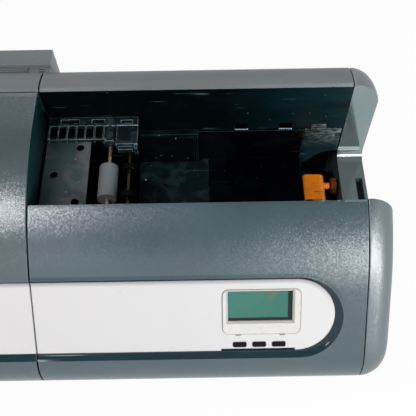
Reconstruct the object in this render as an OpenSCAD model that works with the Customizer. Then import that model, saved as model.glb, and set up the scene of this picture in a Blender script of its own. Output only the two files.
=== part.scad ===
// Bench-top id card printer with its print bay open: a long moulded housing in two
// modules, a display stripe along the front and a hinged cover on the left module.
// X runs along the length, Y counts back from the belly and Z up from the table.
// Every piece is shifted at the end, so that the origin is under the middle of the box.

/* [Overall] */
// Length over both end caps
overall_length = 699; // [680:1:740]
// Depth from the belly to the rear wall
body_depth = 277; // [272:1:290]
// Height from the table to the flat top
overall_height = 306; // [302:1:316]
// Thickness of the moulded walls
wall = 3; // [2.6:0.1:3.4]
// Gap between neighbouring mouldings
seam = 0.6; // [0.4:0.1:0.9]
// Height of the rubber feet
foot_height = 5; // [4:0.5:8]
// Thickness of each end cap
cap_width = 28; // [24:1:32]
// Radius of the outer edge of an end cap
cap_round = 26; // [20:1:27]
// Place of the seam between the left and the right module
split_x = 9; // [-10:1:15]

/* [Cross-section] */
// Radius of the domed top in front of the flat
crown_radius = 205; // [190:1:220]
// Where the flat top ends and the dome starts
crown_start = 205; // [200:1:212]
// Slope of the flat front facet
facet_tilt = 48.2; // [45:0.1:50]
// Depth of the foremost line of the belly below the top
belly_drop = 143; // [138:1:149]
// Lean of the undercut hull from the vertical
undercut = 27; // [24:0.5:29]
// Radius of the keel under the hull
keel_radius = 25; // [18:1:30]
// Radius of the lower rear corner
heel_radius = 8; // [5:0.5:12]
// Radius of the rear band's fall towards the rear wall
band_radius = 58; // [50:1:64]
// Radius of the lip at the rear edge of the band
lip_radius = 6; // [5:0.5:8]
// Depth of the rear band from the rear wall
band_depth = 32.6; // [30:0.2:37]
// Front edge of the bay opening
opening_front = 123.4; // [118:0.2:128]
// Distance of the seam under the belly from its foremost line
hull_drop = 13; // [9:1:23]
// Height of the tray's rear rim
tray_rear = 60; // [45:1:70]

/* [Stripe] */
// Depth of the stripe's lower edge below the top
stripe_drop = 113.7; // [111:0.1:116]
// Width of the stripe up the facet
stripe_height = 73; // [68:0.5:75]
// Depth of the stripe's face below the facet
stripe_inset = 2.6; // [2:0.1:3]
// Thickness of the stripe
stripe_thick = 2.5; // [2:0.1:3]
// Distance of the stripe's round tip from the right end
stripe_tip = 57.6; // [50:0.2:70]
// Width of the channel below the stripe
channel_below = 8.5; // [6:0.1:9]
// Width of the channel above the stripe
channel_above = 2.7; // [2:0.1:3]
// Width of the channel round the tip of the stripe
channel_tip = 8.6; // [6:0.1:10]
// Distance of the stripe's square end from the left end
stripe_stop = 50; // [44:1:80]
// Corner radius of that end
stripe_corner = 12; // [6:1:16]
// Height of the step in the stripe under the buttons
stripe_step = 2; // [1:0.5:3]

/* [Display and buttons] */
// Middle of the display from the right end
display_from_end = 126.5; // [120:0.5:140]
// Width of the display's frame
bezel_width = 73.4; // [72:0.1:78]
// Height of the display's frame
bezel_height = 45.6; // [43:0.1:47]
// Corner radius of the frame
bezel_corner = 6; // [3:0.5:9]
// Middle of the frame above the stripe's lower edge
bezel_rise = 40.3; // [38:0.1:42]
// How far the frame stands out of the stripe
bezel_proud = 0.9; // [0.5:0.1:1.5]
// Width of the window
window_width = 60.7; // [54:0.1:62]
// Height of the window
window_height = 30.6; // [26:0.1:31]
// Offset of the window towards the left side of the frame
window_aside = 1.1; // [0:0.1:2]
// Offset of the window towards the top of the frame
window_lift = 5; // [3:0.1:5.4]
// Depth of the glass below the stripe's face
glass_depth = 3.4; // [2.5:0.1:4]
// Width of a button
button_width = 12.4; // [10:0.1:14]
// Height of a button
button_height = 5; // [4:0.1:5.4]
// Distance between the buttons
button_pitch = 18.6; // [16:0.2:20]
// Middle of the buttons above the stripe's lower edge
button_rise = 6.4; // [6:0.1:8]
// Travel of a button
button_travel = 0.8; // [0.5:0.1:1.2]
// Gap round a button
button_gap = 0.25; // [0.2:0.05:0.4]

/* [Print bay] */
// Depth of the bay floor below the top
bay_depth = 117; // [110:1:122]
// Height of the lower back panels above the floor
ledge_height = 50; // [44:1:54]
// Height of the card path below the top
path_drop = 48.5; // [46:0.5:52]
// How far the card path lies in front of the middle of the bay
path_shift = 12.9; // [10:0.1:16]
// Thickness of the floor and back panels
panel = 3; // [2:0.5:4]
// Width of the guide plate
guide_width = 45; // [40:1:48]
// Thickness of the guide plate and the chassis plates
sheet = 2; // [1.5:0.1:2.5]
// Radius of the holes in the guide plate
guide_hole = 4.2; // [3:0.1:5]
// Front chassis plate behind the front edge of the bay
plate_front = 2.6; // [2:0.1:4]
// Rear chassis plate in front of the rear band
plate_rear = 8.4; // [6.5:0.1:9]
// Left edge of the worn floor panel from the seam
worn_floor = 90.5; // [88:0.5:94]
// Width of the worn floor panel
worn_width = 76; // [70:1:80]
// Width left free between the floor panels and the end cap
feeder_width = 42; // [40:1:48]
// Radius of the thumb wheel beside the lever
wheel_radius = 9; // [7:0.5:11]
// Depth of the well for the lever below the floor
lever_well = 24; // [20:1:30]

/* [Rollers and gears] */
// Cleaning roller: distance from the seam
cleaner_x = 65.7; // [64:0.1:68]
// Radius of the cleaning roller
cleaner_radius = 9.5; // [8:0.1:10]
// Length of the cleaning roller
cleaner_length = 38; // [30:1:44]
// Radius of its shaft
cleaner_shaft = 2; // [1.8:0.1:2.4]
// Feed shaft: distance from the seam
feed_x = 86.5; // [86:0.1:87.5]
// Radius of the feed shaft
feed_shaft_radius = 1.8; // [1.5:0.1:2.2]
// Radius of the feed tyres
feed_tyre = 7; // [6:0.1:8]
// Running clearance of a shaft in its bush
running = 0.06; // [0.03:0.01:0.09]
// Tooth size of the gears
gear_module = 1; // [0.8:0.1:1.1]
// Teeth of the feed gear
feed_teeth = 30; // [26:2:30]
// Teeth of the pinion
pinion_teeth = 16; // [14:2:20]
// Face width of the gears
gear_width = 5; // [4:0.5:6]
// Side of the stepper motors
motor_side = 42; // [38:1:42]
// Length of the stepper motors
motor_length = 34; // [28:1:38]
// Radius of a motor shaft
motor_shaft = 2.5; // [2:0.1:3]

/* [Left module] */
// Radius of the rolled hinge edge of the cover
barrel_radius = 3.9; // [3.6:0.1:4.2]
// Radius of the hinge rod
hinge_rod_radius = 1.5; // [1.2:0.1:1.8]
// Lower edge of the cover's end walls below the top
cover_end = 46; // [42:1:47]
// Place of the drum from the seam
drum_x = -129; // [-140:1:-120]
// Radius of the flipper drum
drum_radius = 30; // [26:1:31]
// Distance of the entry rollers from the seam
entry_x = -39; // [-42:1:-37]
// Distance of the exit rollers from the seam
exit_x = -219; // [-224:1:-216]
// Radius of the drive rollers
drive_radius = 8; // [7:0.1:9]
// Radius of the pinch rollers
pinch_radius = 6; // [5:0.1:7]
// Gap between a drive roller and its pinch roller
nip = 0.8; // [0.6:0.1:1]
// Distance of the belt motor to the left of the drum
belt_run = 70; // [66:1:74]
// Depth of the belt motor below the drum
belt_fall = 40; // [37:1:42]
// Radius of the drum pulley
drum_pulley = 14; // [12:0.5:16]
// Radius of the motor pulley
motor_pulley = 7; // [6:0.5:8]
// Thickness of the belt
belt_thick = 1.4; // [1:0.1:1.8]
// Gap between the belt and a pulley
belt_gap = 0.3; // [0.2:0.05:0.4]
// Outer width of the output bin
bin_width = 71.4; // [66:0.2:74]

/* [Rear] */
// How far the service housing stands out behind the rear wall
hump_reach = 35; // [30:1:40]
// Height of its ledge below the top
hump_drop = 12; // [10:1:16]
// How far it runs past the seam between the modules
hump_past = 5.5; // [3:0.5:8]
// Width of its end piece
hump_end = 23; // [18:1:28]
// Height of the service housing from its underside to its ledge
hump_height = 94; // [80:1:110]
// Inner end of the socket plate from the right end
socket_from_end = 140; // [130:1:150]
// Lower edge of the socket plate above the table
socket_height = 78; // [64:1:90]
// Tilt of the mains rocker to either side
rocker_tilt = 7; // [5:0.5:8]
// Side of the fan
fan_side = 60; // [50:1:70]
// Radius of the fan's blades
fan_radius = 26; // [20:1:27]
// Middle of the fan from the seam
fan_x = 120; // [110:1:140]
// Middle of the fan above the table
fan_height = 110; // [100:1:118]

/* [Electronics] */
// Length of the main board
board_length = 150; // [130:1:152]
// Start of the main board from the seam
board_start = 13; // [10:1:16]
// Height of the boards' stand-offs
standoff = 8; // [6:0.5:12]
// Length of the power supply
supply_length = 104; // [90:1:108]
// Height of the power supply
supply_height = 46; // [38:1:50]

/* [Hidden] */
$fn = 48;

// Colours
slate = "#5f7075";
slate_dark = "#3c4a4e";
stripe_white = "#e6e6e4";
inner_black = "#10181a";
steel = "#b9bcbe";
orange = "#d77a12";

// Overall limits
half_length = overall_length / 2;
overall_depth = body_depth + hump_reach;
cap_seam = half_length - cap_width;
right_x = [split_x + seam, cap_seam - seam];
left_x = [-cap_seam + seam, split_x - seam];
floor_height = overall_height - bay_depth;
path_height = overall_height - path_drop;
tray_floor = foot_height + wall;
belly_height = overall_height - belly_drop;
hull_top = belly_height - hull_drop;
band_front = body_depth - band_depth;
stripe_low = overall_height - stripe_drop;
path_middle = (opening_front + band_front) / 2 - path_shift;

// The housing section is six arcs that run into each other without a corner
facet_angle = 90 + facet_tilt;
facet_out = [cos(facet_angle), sin(facet_angle)];
facet_up = [cos(facet_tilt), sin(facet_tilt)];
crown_centre = [crown_start, overall_height - crown_radius];
facet_offset = facet_out * crown_centre + crown_radius;
belly_radius = (facet_offset - facet_out.y * belly_height) / (1 + facet_out.x);
belly_centre = [belly_radius, belly_height];
keel_angle = 180 + undercut;
keel_out = [cos(keel_angle), sin(keel_angle)];
keel_height = foot_height + keel_radius;
keel_centre = [(keel_out * belly_centre + belly_radius - keel_radius
    - keel_out.y * keel_height) / keel_out.x, keel_height];
heel_centre = [body_depth - heel_radius, foot_height + heel_radius];
band_centre = [band_front + 1.6, overall_height - band_radius];
lip_angle = acos((body_depth - lip_radius - band_centre.x) / (band_radius - lip_radius));
lip_centre = band_centre + (band_radius - lip_radius) * [cos(lip_angle), sin(lip_angle)];

// Sizes in pairs, and the channel's three widths
channel = [channel_below, channel_above, channel_tip];
bezel = [bezel_width, bezel_height];
window = [window_width, window_height];
button = [button_width, button_height];
plates = [opening_front + plate_front, band_front - plate_rear];
teeth = [feed_teeth, pinion_teeth];
roller_x = [entry_x, exit_x];
pulleys = [drum_pulley, motor_pulley];
socket_size = [98, 36];

// Lower edge of the stripe on the plane of its face
stripe_plane = facet_offset - stripe_inset;
stripe_along = (stripe_low - facet_out.y * stripe_plane) / facet_up.y;
stripe_at = facet_out * stripe_plane + facet_up * stripe_along;
stripe_end_x = half_length - stripe_tip;
stripe_start_x = -half_length + stripe_stop;
display_x = half_length - display_from_end;
window_at = [display_x - window_aside, bezel_rise + window_lift];
board_depth = glass_depth + 7;
button_x = [for (i = [-1:1]) display_x - 2 + i * button_pitch];

// Floor panels, well and rollers of the print bay
worn_x = [split_x + worn_floor, split_x + worn_floor + worn_width];
smooth_x = [worn_x[1], cap_seam - feeder_width];
well_floor = floor_height - lever_well;
cleaner_at = [split_x + cleaner_x, path_height - cleaner_radius + 1];
feed_at = [split_x + feed_x, path_height - feed_tyre];
gear_reach = gear_module * (teeth[0] + teeth[1]) / 2 + 0.1;
pinion_turn = -120;
pinion_at = feed_at + gear_reach * [cos(pinion_turn), sin(pinion_turn)];
gear_front = plates[0] + sheet + 1;
guide_height = path_height - 1;
bracket_top = guide_height + 6;
bush_radius = 4;
keeper_x = [smooth_x[0] + 36, smooth_x[0] + 83];
lever_pin = [smooth_x[1] + 5, floor_height - 1];
lever_y = [path_middle + 13, path_middle + 45];
wheel_at = [smooth_x[1] + 36, path_middle + 40, well_floor + wheel_radius + 1.5];

// Back of the housing
hump_low = overall_height - hump_drop - hump_height;
hump_split = split_x + hump_past - hump_end;
fan_at = [split_x + fan_x, fan_height];
socket_at = [half_length - socket_from_end, socket_height];
board_x = [split_x + board_start, split_x + board_start + board_length];
board_y = plates + [16, -8];

// Hinge, drum and belt of the left module
hinge_at = [band_front - 0.5 - barrel_radius, overall_height - barrel_radius];
lug_x = [split_x - 70, -half_length + 95];
lug_width = 14;
drum_at = [split_x + drum_x, path_height];
motor_at = drum_at - [belt_run, belt_fall];
frame_at = [path_middle - 35, path_middle + 41];
frame_x = [split_x + roller_x[1] - 20, split_x + roller_x[0] + 20];
pulley_front = frame_at[0] - 9;
drive_height = path_height - drive_radius - nip / 2;
pinch_height = path_height + pinch_radius + nip / 2;

// ---------- shared shapes ----------

// Shifts a piece so that the origin is under the middle of the whole
module place() translate([0, -overall_depth / 2, 0]) children();

// Span measured from a place
function span(at, ends) = [for (e = ends) at + e];

function arc(centre, r, from, to, steps, first = 0) = [for (i = [first:steps])
    centre + r * [cos(from + (to - from) * i / steps), sin(from + (to - from) * i / steps)]];

// Section of the housing in Y and Z, moved inwards by t
function outline(t = 0) = concat(
    arc(crown_centre, crown_radius - t, 90, facet_angle, 20),
    arc(belly_centre, belly_radius - t, facet_angle, 180, 6),
    arc(belly_centre, belly_radius - t, 180, keel_angle, 4, 1),
    arc(keel_centre, keel_radius - t, keel_angle, 270, 5),
    arc(heel_centre, heel_radius - t, 270, 360, 4),
    arc(lip_centre, lip_radius - t, 0, lip_angle, 4),
    arc(band_centre, band_radius - t, lip_angle, 90, 5, 1));

// Carries a drawing of Y and Z along X
module across(x) translate([x[0], 0, 0]) rotate([90, 0, 90])
    linear_extrude(x[1] - x[0]) children();

// Stands a drawing on the stripe's plane: X along it, Y up the slope, Z outwards
module on_facet(n = 0) translate([0, stripe_at.x, stripe_at.y])
    rotate([facet_tilt, 0, 0]) translate([0, 0, n]) children();

module block(x, y, z) translate([x[0], y[0], z[0]])
    cube([x[1] - x[0], y[1] - y[0], z[1] - z[0]]);

// Round bar along Y at a place in X and Z
module rod(at, y, r) translate([at.x, y[0], at.y]) rotate([-90, 0, 0])
    cylinder(h = y[1] - y[0], r = r);

// Round bar along X at a place in Y and Z
module bar(at, x, r) translate([x[0], at.x, at.y]) rotate([0, 90, 0])
    cylinder(h = x[1] - x[0], r = r);

module rounded(size, r) translate(-size / 2) {
    translate([r, 0]) square([size.x - 2 * r, size.y]);
    translate([0, r]) square([size.x, size.y - 2 * r]);
    for (x = [r, size.x - r], y = [r, size.y - r]) translate([x, y]) circle(r);
}

module shell() difference() {
    polygon(outline());
    polygon(outline(wall));
}

// Room inside the walls and behind the seat of the stripe
module inner_room() intersection() {
    polygon(outline(wall + 0.3));
    translate(stripe_at) rotate(facet_tilt)
        translate([-body_depth, -stripe_thick - wall - 0.3 - 2 * body_depth])
            square(2 * body_depth);
}

// Stripe drawn on its plane, grown by g below, above and at the end
module stripe_drawing_right(from, g = [0, 0, 0]) {
    r = (stripe_height + g[0] + g[1]) / 2;
    middle = stripe_end_x + g[2] - r;
    translate([from, -g[0]]) square([middle - from, 2 * r]);
    translate([middle, r - g[0]]) circle(r);
}

module stripe_drawing_left(to, g = [0, 0, 0]) {
    r = stripe_corner + g[2];
    start = stripe_start_x - g[2];
    translate([start + r, -g[0]]) square([to - start - r, stripe_height + g[0] + g[1]]);
    translate([start, r - g[0]]) square([r, stripe_height + g[0] + g[1] - 2 * r]);
    for (y = [r - g[0], stripe_height + g[1] - r]) translate([start + r, y]) circle(r);
}

// Channel that is cut round the stripe: a bevel and a flat seat
module channel_cut(right) {
    snug = [0.3, 0.3, 0.3];
    on_facet() {
        hull() {
            translate([0, 0, stripe_inset]) linear_extrude(0.4)
                if (right) stripe_drawing_right(0, channel);
                else stripe_drawing_left(20, channel);
            translate([0, 0, -0.5]) linear_extrude(0.1)
                if (right) stripe_drawing_right(0, snug);
                else stripe_drawing_left(20, snug);
        }
        translate([0, 0, -stripe_thick]) linear_extrude(stripe_thick)
            if (right) stripe_drawing_right(0, snug);
            else stripe_drawing_left(20, snug);
    }
}

// Thick seat behind the stripe, kept inside the housing section
module stripe_seat(x) intersection() {
    across(x) polygon(outline(0));
    on_facet(-stripe_thick - wall) translate([x[0], -channel[0] - 5])
        cube([x[1] - x[0], stripe_height + channel[0] + 2, stripe_thick + 2 * wall]);
}

// Gear drawing: straight-flanked teeth, thinned for backlash
function gear_points(n, m) = let (pitch = 360 / n, root = m * (n / 2 - 1.25), tip = m * (n / 2 + 1))
    [for (i = [0:n - 1], c = [[root, -0.29], [tip, -0.12], [tip, 0.12], [root, 0.29]])
        c[0] * [cos((i + c[1]) * pitch), sin((i + c[1]) * pitch)]];

// Loop round two discs: outer tangents and the arcs that they leave
function belt_points(p, q, rp, rq, steps = 16) = let (
    reach = norm(q - p),
    heading = atan2(q.y - p.y, q.x - p.x),
    lift = acos((rp - rq) / reach))
    concat(arc(p, rp, heading + lift, heading + 360 - lift, steps),
        arc(q, rq, heading - lift, heading + lift, steps));

// Stepper motor with its shaft hole: square body, chamfered edges, round boss
module motor_body(at, back) difference() {
    union() {
        translate([at.x, back - motor_length, at.y]) rotate([-90, 0, 0])
            linear_extrude(motor_length) intersection() {
                square(motor_side, center = true);
                rotate(45) square(motor_side * 1.29, center = true);
            }
        rod(at, [back, back + 1.5], 11);
    }
    rod(at, [back - 22, back + 2], motor_shaft + running);
}

// Drive or pinch roller: shaft with two tyres
module roller_pair(at, y, shaft_r, tyre_r, tyre, spread) {
    rod(at, y, shaft_r);
    for (s = [-1, 1]) rod(at, span(path_middle + s * spread, [-tyre / 2, tyre / 2]), tyre_r);
}

// ---------- housing ----------

module base_tray() place() color(slate_dark) {
    difference() {
        across([-cap_seam + seam, cap_seam - seam]) intersection() {
            shell();
            union() {
                translate([-1, 0]) square([body_depth / 2, hull_top - seam]);
                square([body_depth + 1, tray_rear]);
            }
        }
        for (i = [0:11]) block(span(left_x[0] + 71 + i * 16, [0, 6]),
            span(path_middle, [-41, 39]), [0, tray_floor + 1]);
    }
    for (x = board_x + [6, -6], y = board_y + [6, -6]) translate([x, y, tray_floor - 0.5])
        cylinder(h = standoff + 0.5, r = 3);
}

module rubber_feet() place() color("#1b1c1d")
    for (x = [-half_length + 60, 0, half_length - 60], y = [keel_centre.x + 13, body_depth - 22])
        translate([x, y, 0]) difference() {
            cylinder(h = foot_height, r = 9);
            translate([0, 0, -1]) cylinder(h = 2.2, r = 4);
        }

module front_fascia_right() place() color(slate) {
    open_z = crown_centre.y + sqrt(pow(crown_radius, 2) - pow(crown_start - opening_front, 2));
    difference() {
        union() {
            across(right_x) {
                intersection() {
                    shell();
                    translate([-1, hull_top]) square([opening_front + 1, overall_height]);
                }
                intersection() {
                    polygon(outline());
                    translate([opening_front - wall, open_z - 18]) square([wall, 30]);
                }
            }
            stripe_seat([right_x[0], stripe_end_x + 14]);
        }
        channel_cut(true);
        on_facet(-stripe_thick - 2 * wall) {
            translate([window_at.x, window_at.y])
                linear_extrude(20) square(window + [4, 4], center = true);
            for (x = button_x) translate([x, button_rise])
                linear_extrude(20) square(button + [1.2, 1.2], center = true);
        }
    }
}

module front_fascia_left() place() color(slate) difference() {
    union() {
        across(left_x) intersection() {
            shell();
            facet_region(-60, stripe_height + 0.6, hull_top);
        }
        intersection() {
            stripe_seat(left_x);
            across(left_x) facet_region(-60, stripe_height + 0.6, hull_top);
        }
    }
    channel_cut(false);
}

// Part of the section between two heights on the facet, and above a floor
module facet_region(low, high, floor_z) intersection() {
    translate([-1, floor_z]) square([body_depth, overall_height]);
    translate(stripe_at) rotate(facet_tilt) translate([low, -40])
        square([high - low, 60]);
}

module rear_housing_right() place() color(slate) difference() {
    across(right_x) intersection() {
        shell();
        translate([band_front + 0.4, tray_rear + seam])
            square([body_depth, overall_height]);
    }
    translate([socket_at.x, body_depth, socket_at.y])
        block([0, socket_size.x], [-10, 10], [0, socket_size.y]);
    fan_vents();
    screw_places() cylinder(h = 12, r = 1.55, center = true);
}

module fan_vents() for (i = [-4:4])
    block(span(fan_at.x, [4 - fan_side / 2, fan_side / 2 - 4]), span(body_depth, [-10, 10]),
        span(fan_at.y + i * fan_side / 10, [-1.5, 1.5]));

module rear_housing_left() place() color(slate) {
    difference() {
        across(left_x) {
            intersection() {
                shell();
                translate([band_front + 0.4, tray_rear + seam])
                    square([body_depth, overall_height]);
            }
            intersection() {
                polygon(outline(wall - 0.5));
                translate([band_front + 0.4, overall_height - 34]) square([wall, 40]);
            }
        }
        screw_places() cylinder(h = 12, r = 1.55, center = true);
    }
    for (x = lug_x) difference() {
        union() {
            bar(hinge_at, span(x, [-lug_width / 2, lug_width / 2]), barrel_radius - 0.4);
            translate([x, hinge_at.x, hinge_at.y]) rotate([-55, 0, 0])
                block([0.5 - lug_width / 2, lug_width / 2 - 0.5], [0, 9], [-2.4, 1.2]);
        }
        bar(hinge_at, span(x, [-lug_width, lug_width]), hinge_rod_radius + running);
    }
}

// Back of the left module: a ledge with two grooves and a sloping hood behind it
function hump_outline() = let (b = body_depth, top = overall_height - hump_drop)
    [[b, hump_low], [b, top], [b + 9, top], [b + 10, top + 4], [b + 30, top + 4],
        [b + 32, top + 2], [b + hump_reach, top - 34],
        [b + hump_reach, hump_low + 26], [b + hump_reach - 12, hump_low]];

module hump(x) difference() {
    across(x) polygon(hump_outline());
    across([x[0] + wall, x[1] - wall]) offset(delta = -wall) polygon(hump_outline());
    for (y = [2.4, 5.6]) block([x[0] - 1, x[1] - (x[1] > split_x ? hump_past + 3 : -1)],
        span(body_depth + y, [0, 1.5]), span(overall_height - hump_drop, [-1.4, 1]));
}

module service_housing() place() color(slate)
    hump([left_x[0], hump_split - seam / 2]);

module service_housing_end() place() color(slate)
    hump([hump_split + seam / 2, split_x + hump_past]);

// Solid form of an end cap: slices of the section that shrink towards the outside,
// with a wider round along the top and down the rear corner
module cap_solid() intersection() {
    union() {
        across([cap_seam, half_length - cap_round]) polygon(outline());
        hull() for (a = [0:15:90]) translate([half_length - cap_round * (1 - sin(a)), 0, 0])
            rotate([90, 0, 90]) linear_extrude(a == 90 ? 0.01 : 0.02)
                offset(delta = -cap_round * (1 - cos(a))) polygon(outline());
    }
    cap_rounds();
}

// Hollow of an end cap, in two steps that follow its rounds
module cap_hollow() intersection() {
    union() {
        across([cap_seam - 1, half_length - cap_round]) polygon(outline(wall));
        across([cap_seam - 1, half_length - wall]) offset(delta = wall - cap_round)
            polygon(outline());
    }
    cap_rounds(wall);
}

// Round along the top and down the rear corner of a cap, moved inwards by t
module cap_rounds(t = 0) intersection() {
    translate([0, body_depth + 1, 0]) rotate([90, 0, 0]) linear_extrude(body_depth + 2)
        cap_corner(overall_height, t);
    linear_extrude(overall_height + 1) cap_corner(body_depth, t);
}

module cap_corner(edge, t) {
    translate([0, -1]) square([half_length - t, edge + 1 - cap_width]);
    translate([0, -1]) square([cap_seam, edge + 1 - t]);
    translate([cap_seam, edge - cap_width]) circle(cap_width - t);
}

// Notch of the right end cap: open to the top and to the right, round in its corners
module notch_drawing(g = 0) {
    front = opening_front - g;
    back = band_front + g;
    low = floor_height - g;
    r = 12 + g;
    polygon(concat([[back, overall_height + 20], [front, overall_height + 20]],
        arc([front + r, low + r], r, 180, 270, 6),
        arc([back - r, low + r], r, 270, 360, 6)));
}

module end_cap_right() place() color(slate) difference() {
    cap_solid();
    difference() {
        cap_hollow();
        across([cap_seam - 2, half_length + 1]) notch_drawing(wall);
    }
    across([cap_seam - 1, half_length + 1]) notch_drawing();
    block(span(half_length, [-11, -3.5]), [opening_front + 25, path_middle + 41],
        span(floor_height, [-2 * wall, 1]));
}

module end_cap_left() place() color(slate) difference() {
    mirror([1, 0, 0]) cap_solid();
    mirror([1, 0, 0]) cap_hollow();
    block([-half_length - 1, -half_length + cap_width],
        span(path_middle, [-bin_width / 2 - 0.3, bin_width / 2 + 0.3]),
        [floor_height - 0.3, path_height + 8]);
}

module stripe_right() place() color(stripe_white) on_facet(-stripe_thick) difference() {
    linear_extrude(stripe_thick) difference() {
        stripe_drawing_right(right_x[0]);
        translate([display_x, bezel_rise]) rounded(bezel + [0.3, 0.3], 6);
        translate([display_x - 2 - 36, -1]) square([70, 1 + stripe_step]);
        for (x = button_x) translate([x, button_rise])
            rounded(button + 2 * [button_gap, button_gap], 1.6);
        for (x = [-22, 20]) translate([display_x + x, bezel_rise - bezel.y / 2 - 1])
            square([5, 0.9], center = true);
    }
}

module stripe_left() place() color(stripe_white) on_facet(-stripe_thick)
    linear_extrude(stripe_thick) intersection() {
        stripe_drawing_left(left_x[1]);
        translate([-half_length, 0]) square([overall_length, stripe_height]);
    }

module display_frame() place() color(stripe_white) on_facet() difference() {
    union() {
        translate([display_x, bezel_rise, -stripe_thick]) linear_extrude(stripe_thick + bezel_proud)
            rounded(bezel, 6);
        translate([window_at.x, window_at.y, -glass_depth])
            linear_extrude(glass_depth) square(window + [3.6, 3.6], center = true);
    }
    translate([window_at.x, window_at.y, 0]) hull() {
        translate([0, 0, -1.6]) linear_extrude(0.1) square(window, center = true);
        translate([0, 0, bezel_proud]) linear_extrude(0.1)
            square(window + [3, 2.4], center = true);
    }
    translate([window_at.x, window_at.y, -10]) linear_extrude(20) square(window, center = true);
}

module display_glass() place() color("#4d8f7b") on_facet(-glass_depth - 3)
    translate([window_at.x, window_at.y]) linear_extrude(3)
        square(window + [3.4, 3.4], center = true);

// Circuit board behind the stripe, with the dome switches and the display's pins
module panel_board() place() color("#1f5a3c") on_facet(-board_depth) {
    translate([display_x, bezel_rise - 12]) translate([-42, -24]) cube([84, 54, 1.6]);
    for (x = button_x) translate([x, button_rise, 1.6]) cylinder(h = board_depth - 1.6
        - stripe_thick - 3.3 - button_travel, r = 2);
    for (i = [0:7]) translate([window_at.x - 21 + i * 6, window_at.y + window.y / 2 - 3, 1])
        cylinder(h = board_depth - glass_depth - 4, r = 0.5);
    for (x = [-38, 38], y = [-20, 26]) translate([display_x + x, bezel_rise - 12 + y, 1.6])
        cylinder(h = board_depth - 1.6 - stripe_thick - wall, r = 2.4);
}

module button_cap(i) place() color("#141617") on_facet() translate([button_x[i], button_rise]) {
    translate([0, 0, -stripe_thick - 3]) linear_extrude(stripe_thick + 3.5) rounded(button, 1.4);
    translate([0, 0, -stripe_thick - 3.1]) linear_extrude(1.4)
        square(button + [1, 0.6], center = true);
}

module button_left() button_cap(0);
module button_middle() button_cap(1);
module button_right() button_cap(2);

// ---------- left cover ----------

module cover_region() {
    cut = stripe_at + facet_up * (stripe_height + 1.2);
    polygon([cut + facet_out * 20, cut - facet_out * 8, [hinge_at.x, cut.y - 8],
        [hinge_at.x, overall_height + 5], [cut.x - 30, overall_height + 5]]);
}

module left_cover() place() color(slate) difference() {
    union() {
        across(left_x) intersection() {
            shell();
            cover_region();
        }
        for (x = [left_x[0], left_x[1] - wall]) across([x, x + wall]) intersection() {
            polygon(outline());
            cover_region();
            translate([0, overall_height - cover_end]) square([body_depth, 90]);
        }
        bar(hinge_at, left_x, barrel_radius);
    }
    channel_cut(false);
    bar(hinge_at, left_x + [-1, 1], hinge_rod_radius + running);
    for (x = lug_x) block(span(x, [-lug_width / 2 - 1, lug_width / 2 + 1]),
        span(hinge_at.x, [-5.5, 6]), span(overall_height, [-14, 2]));
}

module cover_hinge_rod() place() color(steel)
    bar(hinge_at, left_x + [0.5, -0.5], hinge_rod_radius);

// ---------- print bay ----------

module centre_partition() place() color(inner_black)
    across([left_x[1] - wall, left_x[1]]) intersection() {
        inner_room();
        translate([0, tray_floor]) square([band_front - 1, path_height - 6 - tray_floor]);
    }

module bay_back_panel() place() color(inner_black) {
    low = floor_height + ledge_height;
    difference() {
        block(right_x, span(band_front, [0.4, 0.4 + panel]), [low, overall_height - wall - 0.1]);
        for (x = keeper_x) block(span(x, [-7, 7]), span(band_front, [0, 10]), span(low, [-1, 9]));
    }
}

module keeper_bars() place() color(steel) for (x = keeper_x)
    bar([band_front - 1, floor_height + ledge_height + 1], span(x, [-7, 7]), 1.1);

module lower_panel_left() place() color(inner_black) difference() {
    block([worn_x[0] + 4, smooth_x[0] - 10.5], span(band_front, [-6, 0.4]),
        span(floor_height, [0, ledge_height]));
    block([smooth_x[0] - 15, smooth_x[0] - 13.4], span(band_front, [-7, -4]),
        span(floor_height, [-1, ledge_height - 4]));
}

module lower_panel_right() place() color(inner_black)
    block([smooth_x[0] - 9.8, smooth_x[1] - 0.5], span(band_front, [-2, 0.4]),
        span(floor_height, [0, ledge_height - 0.6]));

// Thin smoked guard with a tab and a bellied lower edge
module dust_shield() place() color("#2c3a3c") {
    x0 = smooth_x[1] + 0.6;
    x1 = cap_seam - 2;
    high = floor_height + ledge_height - 1;
    translate([0, band_front + 0.4, 0]) rotate([90, 0, 0]) linear_extrude(1.2) {
        difference() {
            translate([x0, floor_height - 12]) square([x1 - x0, high - floor_height + 12]);
            translate([x1, floor_height - 24]) circle(34);
        }
        translate([x0 + 6, high - 1]) square([16, 8]);
    }
}

module worn_floor_panel() place() color("#16282a")
    block(worn_x + [0, -0.3], [plates[0], band_front + 0.4], span(floor_height, [-panel, 0]));

module smooth_floor_panel() place() color(inner_black)
    block(smooth_x + [0.3, 0], [plates[0], band_front + 0.4], span(floor_height, [-panel, 0]));

module guide_plate() place() color("#4c5659") difference() {
    union() {
        block(span(right_x[0], [0.9, 0.9 + guide_width]), plates + [sheet, 0],
            span(guide_height, [-sheet, 0]));
        block(span(right_x[0], [0.9, 0.9 + sheet]), plates + [sheet, 0], span(guide_height, [-12, 0]));
    }
    for (p = [[35.4, plates[0] + 19], [11.3, (plates[0] + plates[1]) / 2 - 3.4],
        [35.4, plates[1] - 25.6]])
        translate([right_x[0] + p.x, p.y, guide_height])
            cylinder(h = 10, r = guide_hole, center = true);
}

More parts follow.
